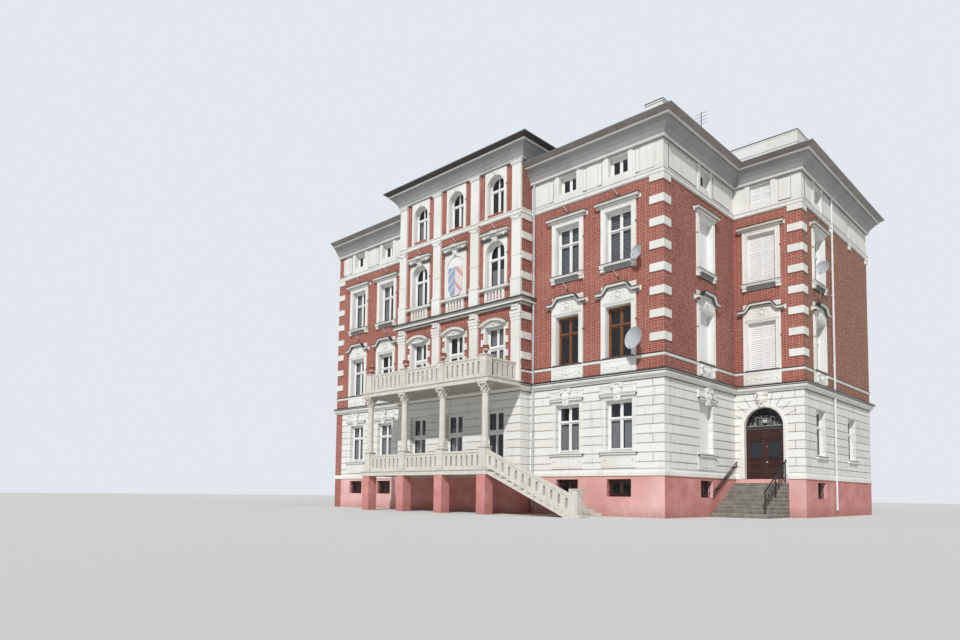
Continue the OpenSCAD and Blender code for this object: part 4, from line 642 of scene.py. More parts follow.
# A dark grey band under the hood's curve, as painted shade.
sweep(grey, [(0.0, 0.055), (0.0, 0.200), (0.010, 0.200), (0.035, 0.10), (0.035, 0.055)], line, OUT)
block(hood, (-0.80, -0.088, 8.825), (0.80, -0.05, 8.852), 0.006)
boss(hood, [(0.16, 0.0), (0.205, 0.0), (0.205, 0.022), (0.19, 0.038), (0.172, 0.030), (0.16, 0.012)],
     (0, -0.06, BOSS_Z), 28)
boss(hood, [(0, 0.0), (0.085, 0.0), (0.085, 0.02), (0.06, 0.05), (0.0, 0.065)], (0, -0.06, BOSS_Z), 16)
for a in (math.tau * i / 8 for i in range(8)):
    boss(hood, [(0, 0.0), (0.03, 0.0), (0.026, 0.024), (0, 0.034)],
         (0.123 * math.cos(a), -0.06, BOSS_Z + 0.123 * math.sin(a)), 8)
for s in (-1, 1):
    for x, z, r in ((0.235, 9.30, 0.05), (0.24, 9.00, 0.045), (0.34, 9.02, 0.03), (0.30, 9.17, 0.035)):
        boss(hood, [(0, 0.0), (r, 0.0), (r, 0.018), (r * 0.55, 0.03), (r * 0.5, 0.016), (0, 0.03)],
             (s * x, -0.058, z), 12)
    block(cover, (s * 0.73 - 0.014, -0.100, 6.535), (s * 0.73 + 0.014, -0.06, 6.560), 0.004)
block(cover, (-0.74, -0.105, 6.556), (0.74, 0.0, 6.578), 0.005)
for whole, template in ((form, hood), (covers, cover), (shade_sheets, grey)):
    stamp(whole, template, MAIN)

# Aprons under the first storey sills: sunk panels on the front, and on the return and the
# side two scrolled consoles with a leaf between them.
panel, console = bmesh.new(), bmesh.new()
for x0, x1, z0, z1 in ((-0.74, 0.74, 5.95, 5.965), (-0.74, 0.74, 6.40, 6.415), (-0.74, -0.725, 5.95, 6.415),
                       (0.725, 0.74, 5.95, 6.415)):
    block(panel, (x0, -0.072, z0), (x1, -0.055, z1), 0.004)
for s in (-1, 1):
    roll(console, (0.078, 0.07), (0.09, 0.08), (s * 0.60, -0.13, 6.36), 16)
    roll(console, (0.05, 0.045), (0.075, 0.07), (s * 0.60, -0.10, 6.05), 14)
    block(console, (s * 0.60 - 0.065, -0.135, 6.06), (s * 0.60 + 0.065, -0.055, 6.40), 0.02)
for x, z in ((0, 6.10), (-0.10, 6.20), (0.10, 6.20), (-0.19, 6.29), (0.19, 6.29), (0, 6.26)):
    turned(console, [(0, -0.09), (0.04, -0.05), (0.055, 0.0), (0.04, 0.05), (0, 0.09)], (x, -0.065, z), 10,
           Vector((x * 2.2, 0, 1)).normalized(), OUT)
stamp(form, panel, FRONT + WING)
stamp(form, console, RETURN + SIDE)

# Ground storey windows: a zinc-covered ledge above and below each, and a keystone with two
# volutes and a shell. Plain windows at the side and the back have zinc sills alone.
hood, cover = bmesh.new(), bmesh.new()
around(hood, 1.69, 0.06, [(-0.01, 5.36), (0.01, 5.36), (0.03, 5.385), (0.03, 5.40), (-0.01, 5.40)])
block(cover, (-0.865, -0.122, 5.028), (0.865, 0.0, 5.044), 0.004)
block(cover, (-0.885, -0.128, 2.606), (0.885, 0.0, 2.624), 0.004)
for s in (-1, 1):
    for x, z, half, low, back, high in ((0.865, 4.955, 0.016, -0.118, -0.05, 5.035),
                                        (0.875, 2.545, 0.016, -0.120, -0.05, 2.615),
                                        (0.66, 2.30, 0.03, -0.05, -0.03, 2.325)):
        block(cover, (s * x - half, low, z), (s * x + half, back, high), 0.004)
    for z in (5.10, 5.29):
        block(hood, (s * 0.50 - 0.23, -0.075, z), (s * 0.50 + 0.23, -0.055, z + 0.025), 0.005)
    boss(hood, [(0, -0.02), (0.075, -0.02), (0.085, 0.0), (0.085, 0.03), (0.06, 0.05), (0.055, 0.03), (0, 0.05)],
         (s * 0.20, -0.155, 5.36), 16)
for a in (0.42 * i for i in range(-2, 3)):                 # the shell's lobes
    turned(hood, [(0, -0.15), (0.03, -0.10), (0.044, 0.0), (0.036, 0.09), (0, 0.13)],
           (0.16 * math.sin(a), -0.152, 4.96 + 0.16 * math.cos(a)), 10, (math.sin(a), 0, math.cos(a)), OUT)
boss(hood, [(0, -0.02), (0.05, -0.02), (0.055, 0.01), (0.03, 0.045), (0, 0.055)], (0, -0.15, 4.92), 12)
roll(hood, (0.04, 0.035), (0.27, 0.26), (0, -0.155, 5.455), 12)
for z in (2.08, 2.44):
    block(hood, (-0.60, -0.048, z), (0.60, -0.030, z + 0.02), 0.004)
for whole, template in ((form, hood), (covers, cover)):
    stamp(whole, template, FRONT + RETURN)
for places, half, z, out in ((SIDE_BOTH + BACK, 0.705, 2.70, 0.12), (BACK, 0.70, 6.555, 0.12),
                             (BACK, 0.89, 10.58, 0.16)):
    template = bmesh.new()
    block(template, (-half, -out, z - 0.006), (half, 0.0, z + 0.016), 0.005)
    stamp(covers, template, places)
piece("window_ornament", form, white_stucco)
piece("sill_and_hood_flashings", covers, weathered_zinc)
# Dark grey stucco for joints, and for the painted shade under hoods, ledges and panels.
joint_and_shade_stucco = stucco("dark grey stucco of joints and painted shade", "#7A7978", "#656463", "#4C4A48")
piece("hood_soffits", shade_sheets, joint_and_shade_stucco)

# The centre block. Over each balcony window a shell fans out under the low arched hood and
# its scalloped edge hangs over the glass; the hoods of the arched windows carry a scroll.
CENTRE_AXES = (-4.005, -1.335, 1.335, 4.005)
PILASTERS = [on_wall(x, CENTRE_Y) for x in CENTRE_AXES]


def disc(form, radius, thick, x, y, z, sides=16, eye=0.0):
    """A round boss on a wall's face, with a sunk ring round its eye where one is given."""
    profile = [(0, -0.01), (radius, -0.01), (radius, thick * 0.6), (radius * 0.86, thick)]
    if eye:
        profile += [(radius * eye * 1.25, thick), (radius * eye, thick * 0.35), (radius * eye * 0.6, thick * 0.8)]
    boss(form, profile + [(0, thick)], (x, y, z), sides)


def leaf(form, x, y, z, length, width, lean=0.0, thick=0.03):
    """A pointed leaf that lies on a wall's face, from its foot up, leaning to one side."""
    axis = Vector((math.sin(lean), 0, math.cos(lean)))
    turned(form, [(0, 0), (width * 0.36, length * 0.15), (width * 0.5, length * 0.45), (width * 0.3, length * 0.8),
                  (0, length)], (x, y, z), 8, axis, axis.cross(Vector((0, 1, 0))),
           Matrix.Diagonal((1, 2 * thick / width, 1, 1)))


def arc_line(width, rise, foot, steps=16):
    """A flat arch over a width, as a line on a wall's face."""
    radius = (width * width / 4 + rise * rise) / (2 * rise)
    xs = [width * (i / steps - 0.5) for i in range(steps + 1)]
    return [(x, 0, foot + rise - radius + math.sqrt(radius * radius - x * x)) for x in xs]


shell, arches, cover = bmesh.new(), bmesh.new(), bmesh.new()
for a in (0.34 * i for i in range(-4, 5)):
    reach = math.sqrt((1.36 * math.cos(a)) ** 2 + 0.311) - 1.36 * math.cos(a)
    leaf(shell, 0.12 * math.sin(a), -0.082, 8.83, reach, 0.10, a, 0.035)
disc(shell, 0.07, 0.06, 0, -0.085, 8.86, eye=0.5)
for i in range(-3, 4):
    disc(shell, 0.095, 0.05, i * 0.165, -0.04, 8.765 + 0.012 * abs(i), 14, eye=0.45)
sweep(shell, [(-0.004, 0.20), (-0.004, 0.236), (0.02, 0.244), (0.035, 0.232), (0.035, 0.20)],
      arc_line(1.70, 0.25, 8.82), OUT)
sweep(shell, [(0.06, 0.20), (0.06, 0.228), (0.08, 0.232), (0.092, 0.222), (0.092, 0.20)],
      arc_line(1.66, 0.24, 8.82), OUT)
sweep(cover, [(-0.010, 0.0), (-0.010, 0.236), (0.014, 0.236), (0.014, 0.226), (0.0, 0.224), (0.0, 0.0)],
      arc_line(1.70, 0.25, 8.82), OUT)
stamp(arches, shell, CENTRE)
hood = bmesh.new()
for low, width, out, over in ((12.925, 1.42, 0.099, 0.03), (13.085, 1.48, 0.109, 0.025)):
    around(hood, width, out, [(-0.01, low), (0.01, low), (over, low + 0.05), (over, low + 0.075), (-0.01, low + 0.075)])
around(hood, 1.72, 0.219, [(-0.01, 13.172), (0.006, 13.172), (0.03, 13.215), (0.035, 13.232), (-0.01, 13.232)])
sweep(cover, [(-0.012, 0.0), (-0.012, 0.258), (0.020, 0.258), (0.020, 0.248), (0.0, 0.246), (0.0, 0.0)],
      arc_line(1.76, 0.06, 13.25), OUT)
for s in (-1, 1):                                          # scrolls and a leaf on the crown
    disc(hood, 0.075, 0.07, s * 0.10, -0.225, 13.19, eye=0.5)
    disc(hood, 0.045, 0.05, s * 0.21, -0.222, 13.15, eye=0.5)
    block(hood, (s * 0.60 - 0.05, -0.19, 12.94), (s * 0.60 + 0.05, -0.05, 13.10), 0.02)
for lean in (-0.5, 0.0, 0.5):
    leaf(hood, 0, -0.24, 13.12, 0.20, 0.09, lean, 0.04)
block(hood, (-0.09, -0.13, 12.74), (0.09, -0.03, 12.93), 0.02)
disc(hood, 0.075, 0.04, 0, -0.13, 12.84, eye=0.5)
stamp(arches, hood, CENTRE)
keystone = bmesh.new()
block(keystone, (-0.085, -0.125, 15.98), (0.085, -0.03, 16.22), 0.02)
disc(keystone, 0.07, 0.04, 0, -0.12, 16.11, eye=0.5)
for s in (-1, 1):
    disc(keystone, 0.04, 0.03, s * 0.12, -0.06, 16.20, 12)
stamp(arches, keystone, CENTRE)
block(cover, (-0.945, -0.225, 10.576), (0.945, 0.0, 10.592), 0.004)
ledge = bmesh.new()
around(ledge, 1.86, 0.20, [(-0.01, 10.478), (0.006, 10.478), (0.022, 10.51), (0.022, 10.576), (-0.01, 10.576)])
for z0, z1 in ((9.86, 9.905), (10.43, 10.47)):
    block(ledge, (-0.66, -0.105, z0), (0.66, -0.02, z1), 0.006)
stamp(arches, ledge, CENTRE)
covers = bmesh.new()
stamp(covers, cover, CENTRE)

# Its pilasters: consoles with a dark eye under the lower cornice, the eye painted dark grey as
# painted shade in its hollow, and leafed capitals with two volutes under the frieze.
console, eyes, capital, cap = bmesh.new(), bmesh.new(), bmesh.new(), bmesh.new()
roll(console, (0.06, 0.055), (0.19, 0.18), (0, -0.165, 9.30), 14)
block(console, (-0.20, -0.20, 9.42), (0.20, -0.05, 9.50), 0.012)
boss(console, [(0.045, -0.01), (0.095, -0.01), (0.095, 0.03), (0.075, 0.045), (0.05, 0.03), (0.045, -0.01)],
     (0, -0.16, 9.385), 18)
disc(eyes, 0.05, 0.012, 0, -0.158, 9.385, 14)
for s in (-1, 1):
    leaf(console, s * 0.12, -0.13, 9.02, 0.20, 0.10, 0.0, 0.04)
    disc(capital, 0.075, 0.06, s * 0.235, -0.115, 13.655, eye=0.55)
    leaf(capital, s * 0.13, -0.112, 13.52, 0.15, 0.11, s * 0.15, 0.035)
leaf(capital, 0, -0.115, 13.52, 0.17, 0.12, 0.0, 0.045)
disc(capital, 0.05, 0.05, 0, -0.125, 13.71, eye=0.4)
block(capital, (-0.30, -0.165, 13.735), (0.30, -0.05, 13.80), 0.01)
around(cap, 0.566, 0.117, [(-0.01, 16.12), (0.012, 16.13), (0.03, 16.18), (0.045, 16.20), (0.045, 16.255),
                           (-0.01, 16.255)])
holes = bmesh.new()
for whole, template in ((arches, console), (arches, capital), (arches, cap), (holes, eyes)):
    stamp(whole, template, PILASTERS)
piece("centre_ornament", arches, white_stucco)
piece("centre_flashings", covers, weathered_zinc)
piece("console_eyes", holes, joint_and_shade_stucco)


# The middle blind arch is plastered white, and on it hangs a made-up shield, enamelled in
# pale blue, straw and rose on sheet zinc.
def plate(form, outline, back, front):
    """A flat plate with the outline given in x and z, between two planes of y."""
    rows = [[form.verts.new((x, y, z)) for x, z in outline] for y in (back, front)]
    form.faces.new(rows[0])
    form.faces.new(rows[1])
    for i in range(len(outline)):
        form.faces.new((rows[0][i - 1], rows[0][i], rows[1][i], rows[1][i - 1]))


def slanting(way, span, edge):
    """1 on bands that slant across the shield: their spacing is twice the span."""
    along = add("Math", [at("Z"), at("X")], operation=way)
    return add("Math", [add("Math", [along, span], operation="PINGPONG"), edge], operation="GREATER_THAN")


form = bmesh.new()
plate(form, [(x, z) for x, y, z in opening_line(1.198, 10.594, 2.105, True)], -0.298, -0.314)
piece("blind_arch_plaster", form, reveal_plaster)
form = bmesh.new()
outline = [(-0.49, 12.16), (0.0, 12.18), (0.49, 12.16), (0.49, 11.18)]
outline += [(0.49 * math.cos(a), 11.18 + 0.51 * math.sin(a)) for a in (-math.pi * i / 14 for i in range(1, 14))]
plate(form, outline + [(-0.49, 11.18)], -0.312, -0.361)
shield_paint = new_material("matt enamel heraldic paint on zinc")
blue = layered("#5F86C4", (slanting("SUBTRACT", 0.24, 0.185), "#D8C873"))
rose = layered("#E2C9C5", (slanting("ADD", 0.42, 0.30), "#C57A76"))
faded = clouds(9.0, detail=5.0)
surface(layered(blue, (inside(at("X"), 0, 1), rose),
                (0.25, add("ValToRGB", [faded], stops=((0.35, "#C9CCD2"), (0.65, "#EDEDEC"))))),
        0.6, (faded, 0.001, 0.4))
piece("shield", form, shield_paint)


# The portico, the balcony and the stair are warm grey sandstone. Rain has washed the tops
# pale and left runs under the copings, and the undersides are painted brown as painted shade.
def dressed_stone():
    """The stone's bedding as a height, its colour and its 4 mm sand grain as a bump."""
    bedding = clouds(3.0, (0.6, 0.6, 3.0), 5.0)
    stone = layered(add("ValToRGB", [bedding], stops=((0.30, "#CAC6BC"), (0.55, "#D3CFC5"), (0.75, "#DBD7CE"))),
                    (0.55, clouds(5.0, (2, 2, 0.22), 6.0, ((0.50, "#FFFFFF"), (0.72, "#C9C3B6"))), "MULTIPLY"))
    return bedding, stone, (clouds(260.0, detail=3.0), 0.0008, 0.6)


grey_sandstone = new_material("warm grey dressed sandstone")
bedding, stone, sand = dressed_stone()
# Faces that look down are painted brown as painted shade.
surface(layered(stone, (add("MapRange", [facing("Z"), -0.4, -0.9, 0.0, 0.7]), "#8A8173")), 0.88,
        (bedding, 0.004, 0.4), sand)
finish_nodes(grey_sandstone, "terrace", "terrace_stair", "terrace_balustrade", "portico_columns", "balcony_slab")

# On the balcony's piers stand red earthenware vases with a white slip band and a finial.
stone_and_ware = new_material("sandstone balustrade with earthenware vases")
bedding, stone, sand = dressed_stone()
ware = layered("#8E4A3A", (inside(at("Z"), 7.06, 7.13), "#D9CFC4"))
surface(layered(stone, (inside(at("Z"), 6.905, 99), ware)), 0.8, sand)
finish_nodes(stone_and_ware, "balcony_balustrade")

# Mouldings round the slabs, caps and feet of the piers, and sunk panels in their faces.
COLUMN_Y = -2.33
form = bmesh.new()
for z, x, top in ((5.69, 4.425, 5.94), (1.70, 4.375, 1.95)):
    edge = [(-x, CENTRE_Y, 0), (-x, -2.585, 0), (x, -2.585, 0), (x, CENTRE_Y, 0)]
    sweep(form, [(-0.02, top - 0.07), (0.012, top - 0.07), (0.035, top - 0.045), (0.035, top - 0.004),
                 (-0.02, top - 0.004)], edge)
    sweep(form, [(-0.02, z + 0.002), (0.010, z + 0.002), (0.022, z + 0.03), (0.010, z + 0.055), (-0.02, z + 0.055)],
          edge)


def collar(form, x, z, out, high, half=0.19):
    """A moulding round one of the portico's square piers."""
    sweep(form, [(-0.01, z), (out * 0.4, z), (out, z + high * 0.45), (out, z + high), (-0.01, z + high)],
          [(x + a * half, COLUMN_Y + b * half, 0) for a, b in ((-1, -1), (1, -1), (1, 1), (-1, 1))], closed=True)


for x in CENTRE_AXES:
    for z, out, high in ((6.84, 0.035, 0.062), (5.945, 0.02, 0.05), (2.85, 0.035, 0.055), (1.955, 0.03, 0.09)):
        collar(form, x, z, out, high)
    for z0, z1 in ((6.08, 6.76), (2.13, 2.78)):
        block(form, (x - 0.12, COLUMN_Y - 0.196, z0), (x + 0.12, COLUMN_Y - 0.184, z1), 0.005)
    turned(form, [(0, 7.30), (0.022, 7.30), (0.018, 7.36), (0.006, 7.46), (0, 7.47)], (x, COLUMN_Y, 0), 12)
for z, out, high in ((1.045, 0.035, 0.056), (0.0, 0.03, 0.12)):     # the pier at the stair's foot
    collar(form, 8.945, z, out, high)
piece("portico_mouldings", form, grey_sandstone)

# Turned rings at the feet of the shafts, and leafed capitals: two rows of leaves round the
# bell and four corner volutes under the abacus.
form = bmesh.new()
for x in CENTRE_AXES:
    turned(form, [(0, 2.90), (0.185, 2.90), (0.197, 2.915), (0.197, 2.945), (0.185, 2.96), (0.168, 2.967),
                  (0.165, 2.985), (0.178, 3.0), (0.176, 3.02), (0.160, 3.03), (0, 3.03)], (x, COLUMN_Y, 0), 32)
    turned(form, [(0, 5.235), (0.155, 5.235), (0.168, 5.247), (0.168, 5.26), (0.155, 5.272), (0, 5.272)],
           (x, COLUMN_Y, 0), 28)
    for first, foot, tall, out in ((0.0, 5.27, 0.17, 0.155), (0.5, 5.38, 0.16, 0.165)):
        for a in (math.tau * (i + first) / 8 for i in range(8)):
            spot = (x + out * math.cos(a), COLUMN_Y + out * math.sin(a), foot)
            lean = Vector((0.35 * math.cos(a), 0.35 * math.sin(a), 1)).normalized()
            turned(form, [(0, 0), (0.030, tall * 0.2), (0.046, tall * 0.55), (0.040, tall * 0.85), (0, tall)], spot, 8,
                   lean, lean.cross(Vector((math.sin(a), -math.cos(a), 0))))
    for sx, sy in ((-1, -1), (-1, 1), (1, -1), (1, 1)):
        turned(form, [(0, -0.045), (0.055, -0.04), (0.062, 0.0), (0.055, 0.04), (0, 0.045)],
               (x + sx * 0.185, COLUMN_Y + sy * 0.185, 5.555), 14, Vector((sx, -sy, 0)).normalized(), UP)
    for a in (math.pi / 2 * k for k in range(4)):
        turned(form, [(0, -0.02), (0.04, -0.02), (0.045, 0.0), (0.025, 0.03), (0, 0.035)],
               (x + 0.245 * math.cos(a), COLUMN_Y + 0.245 * math.sin(a), 5.62), 10, (math.cos(a), math.sin(a), 0), UP)
piece("column_capitals", form, grey_sandstone)

# Side steps: worn grey stone treads; the risers are painted dark under each rounded nosing as painted shade, and the
# tops of the treads lighter as painted light.
worn_steps = new_material("worn grey sandstone steps")
RISE, GOING = 0.167, 0.29
riser = add("Math", [add("Math", [at("Z"), RISE], operation="DIVIDE")], operation="FRACT")
mottle = clouds(4.0, detail=6.0)
nosing_shade = add("ValToRGB", [riser], stops=((0.0, "#4E4B45"), (0.5, "#68645B"), (0.85, "#7F7B70"), (0.97, "#A39F94")))
surface(layered(nosing_shade, (inside(facing("Z"), 0.5, 2), "#B9B5A9"),
                (0.30, add("ValToRGB", [mottle], stops=((0.32, "#5F5C55"), (0.68, "#C2BEB1"))))),
        0.85, (mottle, 0.003, 0.5))
finish_nodes(worn_steps, "side_steps")
form = bmesh.new()
for i in range(9):
    y, z = 4.41 + GOING * i, RISE * (i + 1)
    sweep(form, [(-0.02, -0.03), (0.012, -0.03), (0.020, -0.018), (0.016, -0.004), (-0.02, -0.0005)],
          [(11.004, y, z), (13.346, y, z)])
piece("step_nosings", form, worn_steps)

# The side door: old oak, brown-red oil paint worn satin. Each leaf has a field below, a glazed
# pane and a small arched panel above, with drip ledges between them.
LEAF_Y, LEAF_Z = 7.25, 1.679
door_oak = new_material("brown-red oil paint on oak")
off_centre = add("Math", [add("Math", [at("X"), DOOR_X], operation="SUBTRACT")], operation="ABSOLUTE")
paned = product(inside(at("Z"), 2.56, 3.385), inside(at("Y"), 7.262, 7.285), inside(off_centre, 0.115, 0.70))
grain = clouds(26.0, (1, 1, 0.07), 6.0)
surface(layered(add("ValToRGB", [grain], stops=((0.30, "#2E1713"), (0.70, "#46241E"))), (paned, "#23272B")), 0.38,
        (grain, 0.001, 0.5))
finish_nodes(door_oak, "door_frame", "door_leaf_left", "door_leaf_right")
STRIP = [(-0.018, 0.0), (-0.018, 0.014), (0.0, 0.022), (0.02, 0.010), (0.02, 0.0)]
FIELD = 0.1195, 0.691                                      # from the meeting stile outward
for side, body in ((-1, "door_leaf_left"), (1, "door_leaf_right")):
    form = bmesh.new()
    x0, x1 = (DOOR_X + side * x for x in FIELD)
    for z0, z1 in ((0.95, 1.72), (0.16, 0.56), (0.62, 0.80), (1.87, 2.12)):
        line = [(x0, LEAF_Y, LEAF_Z + z0), (x0, LEAF_Y, LEAF_Z + z1), (x1, LEAF_Y, LEAF_Z + z1),
                (x1, LEAF_Y, LEAF_Z + z0)]
        sweep(form, STRIP, line[::side], OUT, closed=True)
    for a, b, z0, z1, out, back, ease in ((0.1895, 0.621, 0.25, 0.47, 0.012, 0.014, 0.009),
                                          (0.1895, 0.621, 0.665, 0.755, 0.010, 0.014, 0.009),
                                          (0.1895, 0.621, 1.93, 2.06, 0.010, 0.014, 0.009),
                                          (0.01, 0.795, 0.02, 0.12, 0.008, 0.01, 0.004)):
        left, right = sorted((DOOR_X + side * a, DOOR_X + side * b))
        block(form, (left, LEAF_Y - out, LEAF_Z + z0), (right, LEAF_Y + back, LEAF_Z + z1), ease)
    left, right = sorted((DOOR_X + side * 0.02, DOOR_X + side * 0.79))
    for z in (LEAF_Z + 0.865, LEAF_Z + 1.79):
        sweep(form, [(-0.01, -0.02), (0.010, -0.02), (0.026, 0.0), (0.026, 0.014), (-0.01, 0.018)],
              [(left, LEAF_Y, z), (right, LEAF_Y, z)])
    if side > 0:                                           # the cover strip on the right leaf
        sweep(form, [(-0.016, -0.002), (-0.016, 0.012), (0.0, 0.020), (0.016, 0.012), (0.016, -0.002)],
              [(DOOR_X + 0.022, LEAF_Y, LEAF_Z + 0.01), (DOOR_X + 0.022, LEAF_Y, LEAF_Z + 2.18)], OUT)
    piece(body.replace("door_leaf", "leaf_mouldings"), form, door_oak, body)
enamel = new_material("white glazed door knob")
surface(clouds(60.0, stops=((0.3, "#E4E2DC"), (0.7, "#F0EFEA"))), 0.15)
form = bmesh.new()
for z, r in ((0.76, 0.026), (1.45, 0.014)):
    boss(form, [(0, 0.0), (r * 0.9, 0.0), (r * 0.9, 0.006), (r * 0.4, 0.010), (r * 0.4, 0.03), (r, 0.045), (r, 0.055),
                (r * 0.6, 0.068), (0, 0.070)], (DOOR_X + 0.075, LEAF_Y, LEAF_Z + z), 16)
piece("door_knobs", form, enamel, "door_leaf_right")


# Above the leaves a grey transom carries a fanlight, and white wrought-iron scrolls with a
# palmette stand in front of its glass.
def rod(form, radius, path, normal, closed=False):
    """A round bar along a path."""
    sweep(form, [(radius * math.cos(math.tau * i / 6), radius * math.sin(math.tau * i / 6)) for i in range(6)],
          path, normal, closed)


def ring(form, centre, radius, bar, normal, start=0.0, turn=math.tau, steps=20):
    """A ring, or a part of one, of round bar; normal is the ring's own axis."""
    normal = Vector(normal)
    first = normal.cross(Vector(UP))
    second = normal.cross(first)
    whole = turn > 6.28
    rod(form, bar, [Vector(centre) + (first * math.cos(a) + second * math.sin(a)) * radius
                    for a in (start + turn * i / steps for i in range(steps if whole else steps + 1))], normal, whole)


form = bmesh.new()
INTO, SCROLL_Y = (0, 1, 0), 7.225
for s in (-1, 1):
    for x, z, r, start, turn in ((0.17, 4.22, 0.10, 0.0, 6.29), (0.42, 4.17, 0.08, 0.6, 4.6),
                                 (0.33, 4.38, 0.09, 2.0, 4.4), (0.60, 4.15, 0.07, 0.2, 4.4),
                                 (0.10, 4.46, 0.07, 0.5, 4.2)):
        ring(form, (DOOR_X + s * x, SCROLL_Y, z), r, 0.009, INTO, start, turn)
    for x, z in ((0.17, 4.22), (0.42, 4.17)):
        turned(form, [(0, -0.012), (0.03, -0.012), (0.03, 0.012), (0, 0.012)], (DOOR_X + s * x, SCROLL_Y, z), 10, INTO)
for a in (0.45 * i for i in range(-2, 3)):
    turned(form, [(0, 0), (0.018, 0.06), (0.024, 0.13), (0, 0.22)], (DOOR_X, SCROLL_Y, 4.20), 8,
           (math.sin(a), 0, math.cos(a)), INTO)
block(form, (DOOR_X - 0.80, 7.215, 4.055), (DOOR_X + 0.80, 7.235, 4.075), 0.003)
white_iron = new_material("white-painted wrought iron")
surface(clouds(30.0, stops=((0.3, "#B9B7B2"), (0.7, "#D2D0CC"))), 0.45)
piece("fanlight_scrolls", form, white_iron)
transom_grey = new_material("dark grey oil paint on oak")
surface(clouds(20.0, (1, 1, 0.1), stops=((0.3, "#3B3A3A"), (0.7, "#4C4A48"))), 0.5)
form = bmesh.new()
block(form, (DOOR_X - 0.872, 7.222, 3.895), (DOOR_X + 0.872, 7.252, 4.018), 0.006)
sweep(form, [(-0.01, 3.985), (0.012, 3.985), (0.030, 4.005), (0.030, 4.022), (-0.01, 4.026)],
      [(DOOR_X - 0.872, 7.222, 0), (DOOR_X + 0.872, 7.222, 0)])
piece("transom_cover", form, transom_grey)

# The arch round the door: a white rim, the cut joints of its voussoirs and a keystone with a
# generic mask of leaves.
form, key = bmesh.new(), bmesh.new()
sweep(form, [(-0.004, -0.22), (0.012, -0.22), (0.012, 0.022), (0.0, 0.030), (-0.12, 0.030), (-0.13, 0.018),
             (-0.13, -0.01), (-0.004, -0.01)],
      [(DOOR_X + x, WING_Y, z) for x, y, z in opening_line(1.75, 1.70, 3.195, True, steps=24)], OUT)
for half, z0, z1, out in ((0.17, 4.88, 5.12, 0.12), (0.20, 5.12, 5.40, 0.15), (0.235, 5.40, 5.54, 0.17)):
    block(key, (-half, -out, z0), (half, 0.0, z1), 0.012)
for i in range(-3, 4):
    leaf(key, 0.03 * i, -0.155, 5.16, 0.24 - 0.015 * abs(i), 0.085, 0.30 * i, 0.045)
disc(key, 0.075, 0.07, 0, -0.15, 5.13, eye=0.45)
for s in (-1, 1):
    disc(key, 0.055, 0.05, s * 0.17, -0.165, 5.47, eye=0.5)
    disc(key, 0.05, 0.04, s * 0.10, -0.12, 4.97, 12)
stamp(form, key, WING)
piece("door_arch_dressing", form, white_stucco)
form = bmesh.new()
for a in (math.pi * i / 11 for i in (-4, -3, -2, -1, 1, 2, 3, 4)):
    axis = Vector((math.sin(a), 0, math.cos(a)))
    side = Vector((math.cos(a), 0, -math.sin(a))) * 0.009
    low, high = axis * 1.02, axis * min(1.58, 1.50 / max(math.cos(a), 0.6))
    verts = [form.verts.new(Vector((DOOR_X, 7.018 + y, 4.02)) + p + q) for y in (-0.004, 0.006)
             for p, q in ((low, -side), (low, side), (high, side), (high, -side))]
    for face in ((0, 1, 2, 3), (7, 6, 5, 4), (0, 4, 5, 1), (1, 5, 6, 2), (2, 6, 7, 3), (3, 7, 4, 0)):
        form.faces.new([verts[k] for k in face])
piece("voussoir_joints", form, joint_and_shade_stucco)

# The railing on the open side of the steps: wrought rings and bars between its posts, and a
# ball on each post.
form = bmesh.new()
RAIL_X, LEAN = 13.25, RISE / GOING
for i in range(16):
    y = 4.62 + 0.145 * i
    z = RISE + LEAN * (y - 4.555)
    if i % 2 == 0:
        rod(form, 0.007, [(RAIL_X, y, z + 0.30), (RAIL_X, y, z + 0.90)], ACROSS)
    else:
        for up, radius, bar, steps in ((0.60, 0.125, 0.008, 20), (0.80, 0.055, 0.006, 12), (0.40, 0.055, 0.006, 12)):
            ring(form, (RAIL_X, y, z + up), radius, bar, ACROSS, steps=steps)
rod(form, 0.009, [(RAIL_X, 4.50, RISE + 0.67), (RAIL_X, 6.93, RISE + 0.70 + LEAN * 2.375)], ACROSS)
for i in (0, 4, 8):
    y, foot = 4.555 + GOING * i, RISE * (i + 1)
    z = foot + 0.93
    turned(form, [(0, z), (0.018, z), (0.012, z + 0.02), (0.03, z + 0.045), (0.03, z + 0.065), (0, z + 0.09)],
           (RAIL_X, y, 0), 12)
    turned(form, [(0, foot), (0.04, foot), (0.04, foot + 0.01), (0.02, foot + 0.03), (0, foot + 0.03)],
           (RAIL_X, y, 0), 12)
piece("railing_scrolls", form, black_iron)

# Shutters. The wing's upper windows are closed by louvred leaves, and the return's by plain
# boards; all are painted white.
shutter_white = new_material("white oil paint on pine shutters")
boards = clouds(22.0, (1, 1, 0.12), 5.0)
surface(add("ValToRGB", [boards], stops=((0.30, "#E0E0DF"), (0.70, "#ECECEA"))), 0.5, (boards, 0.001, 0.5))
finish_nodes(shutter_white, "shutters")


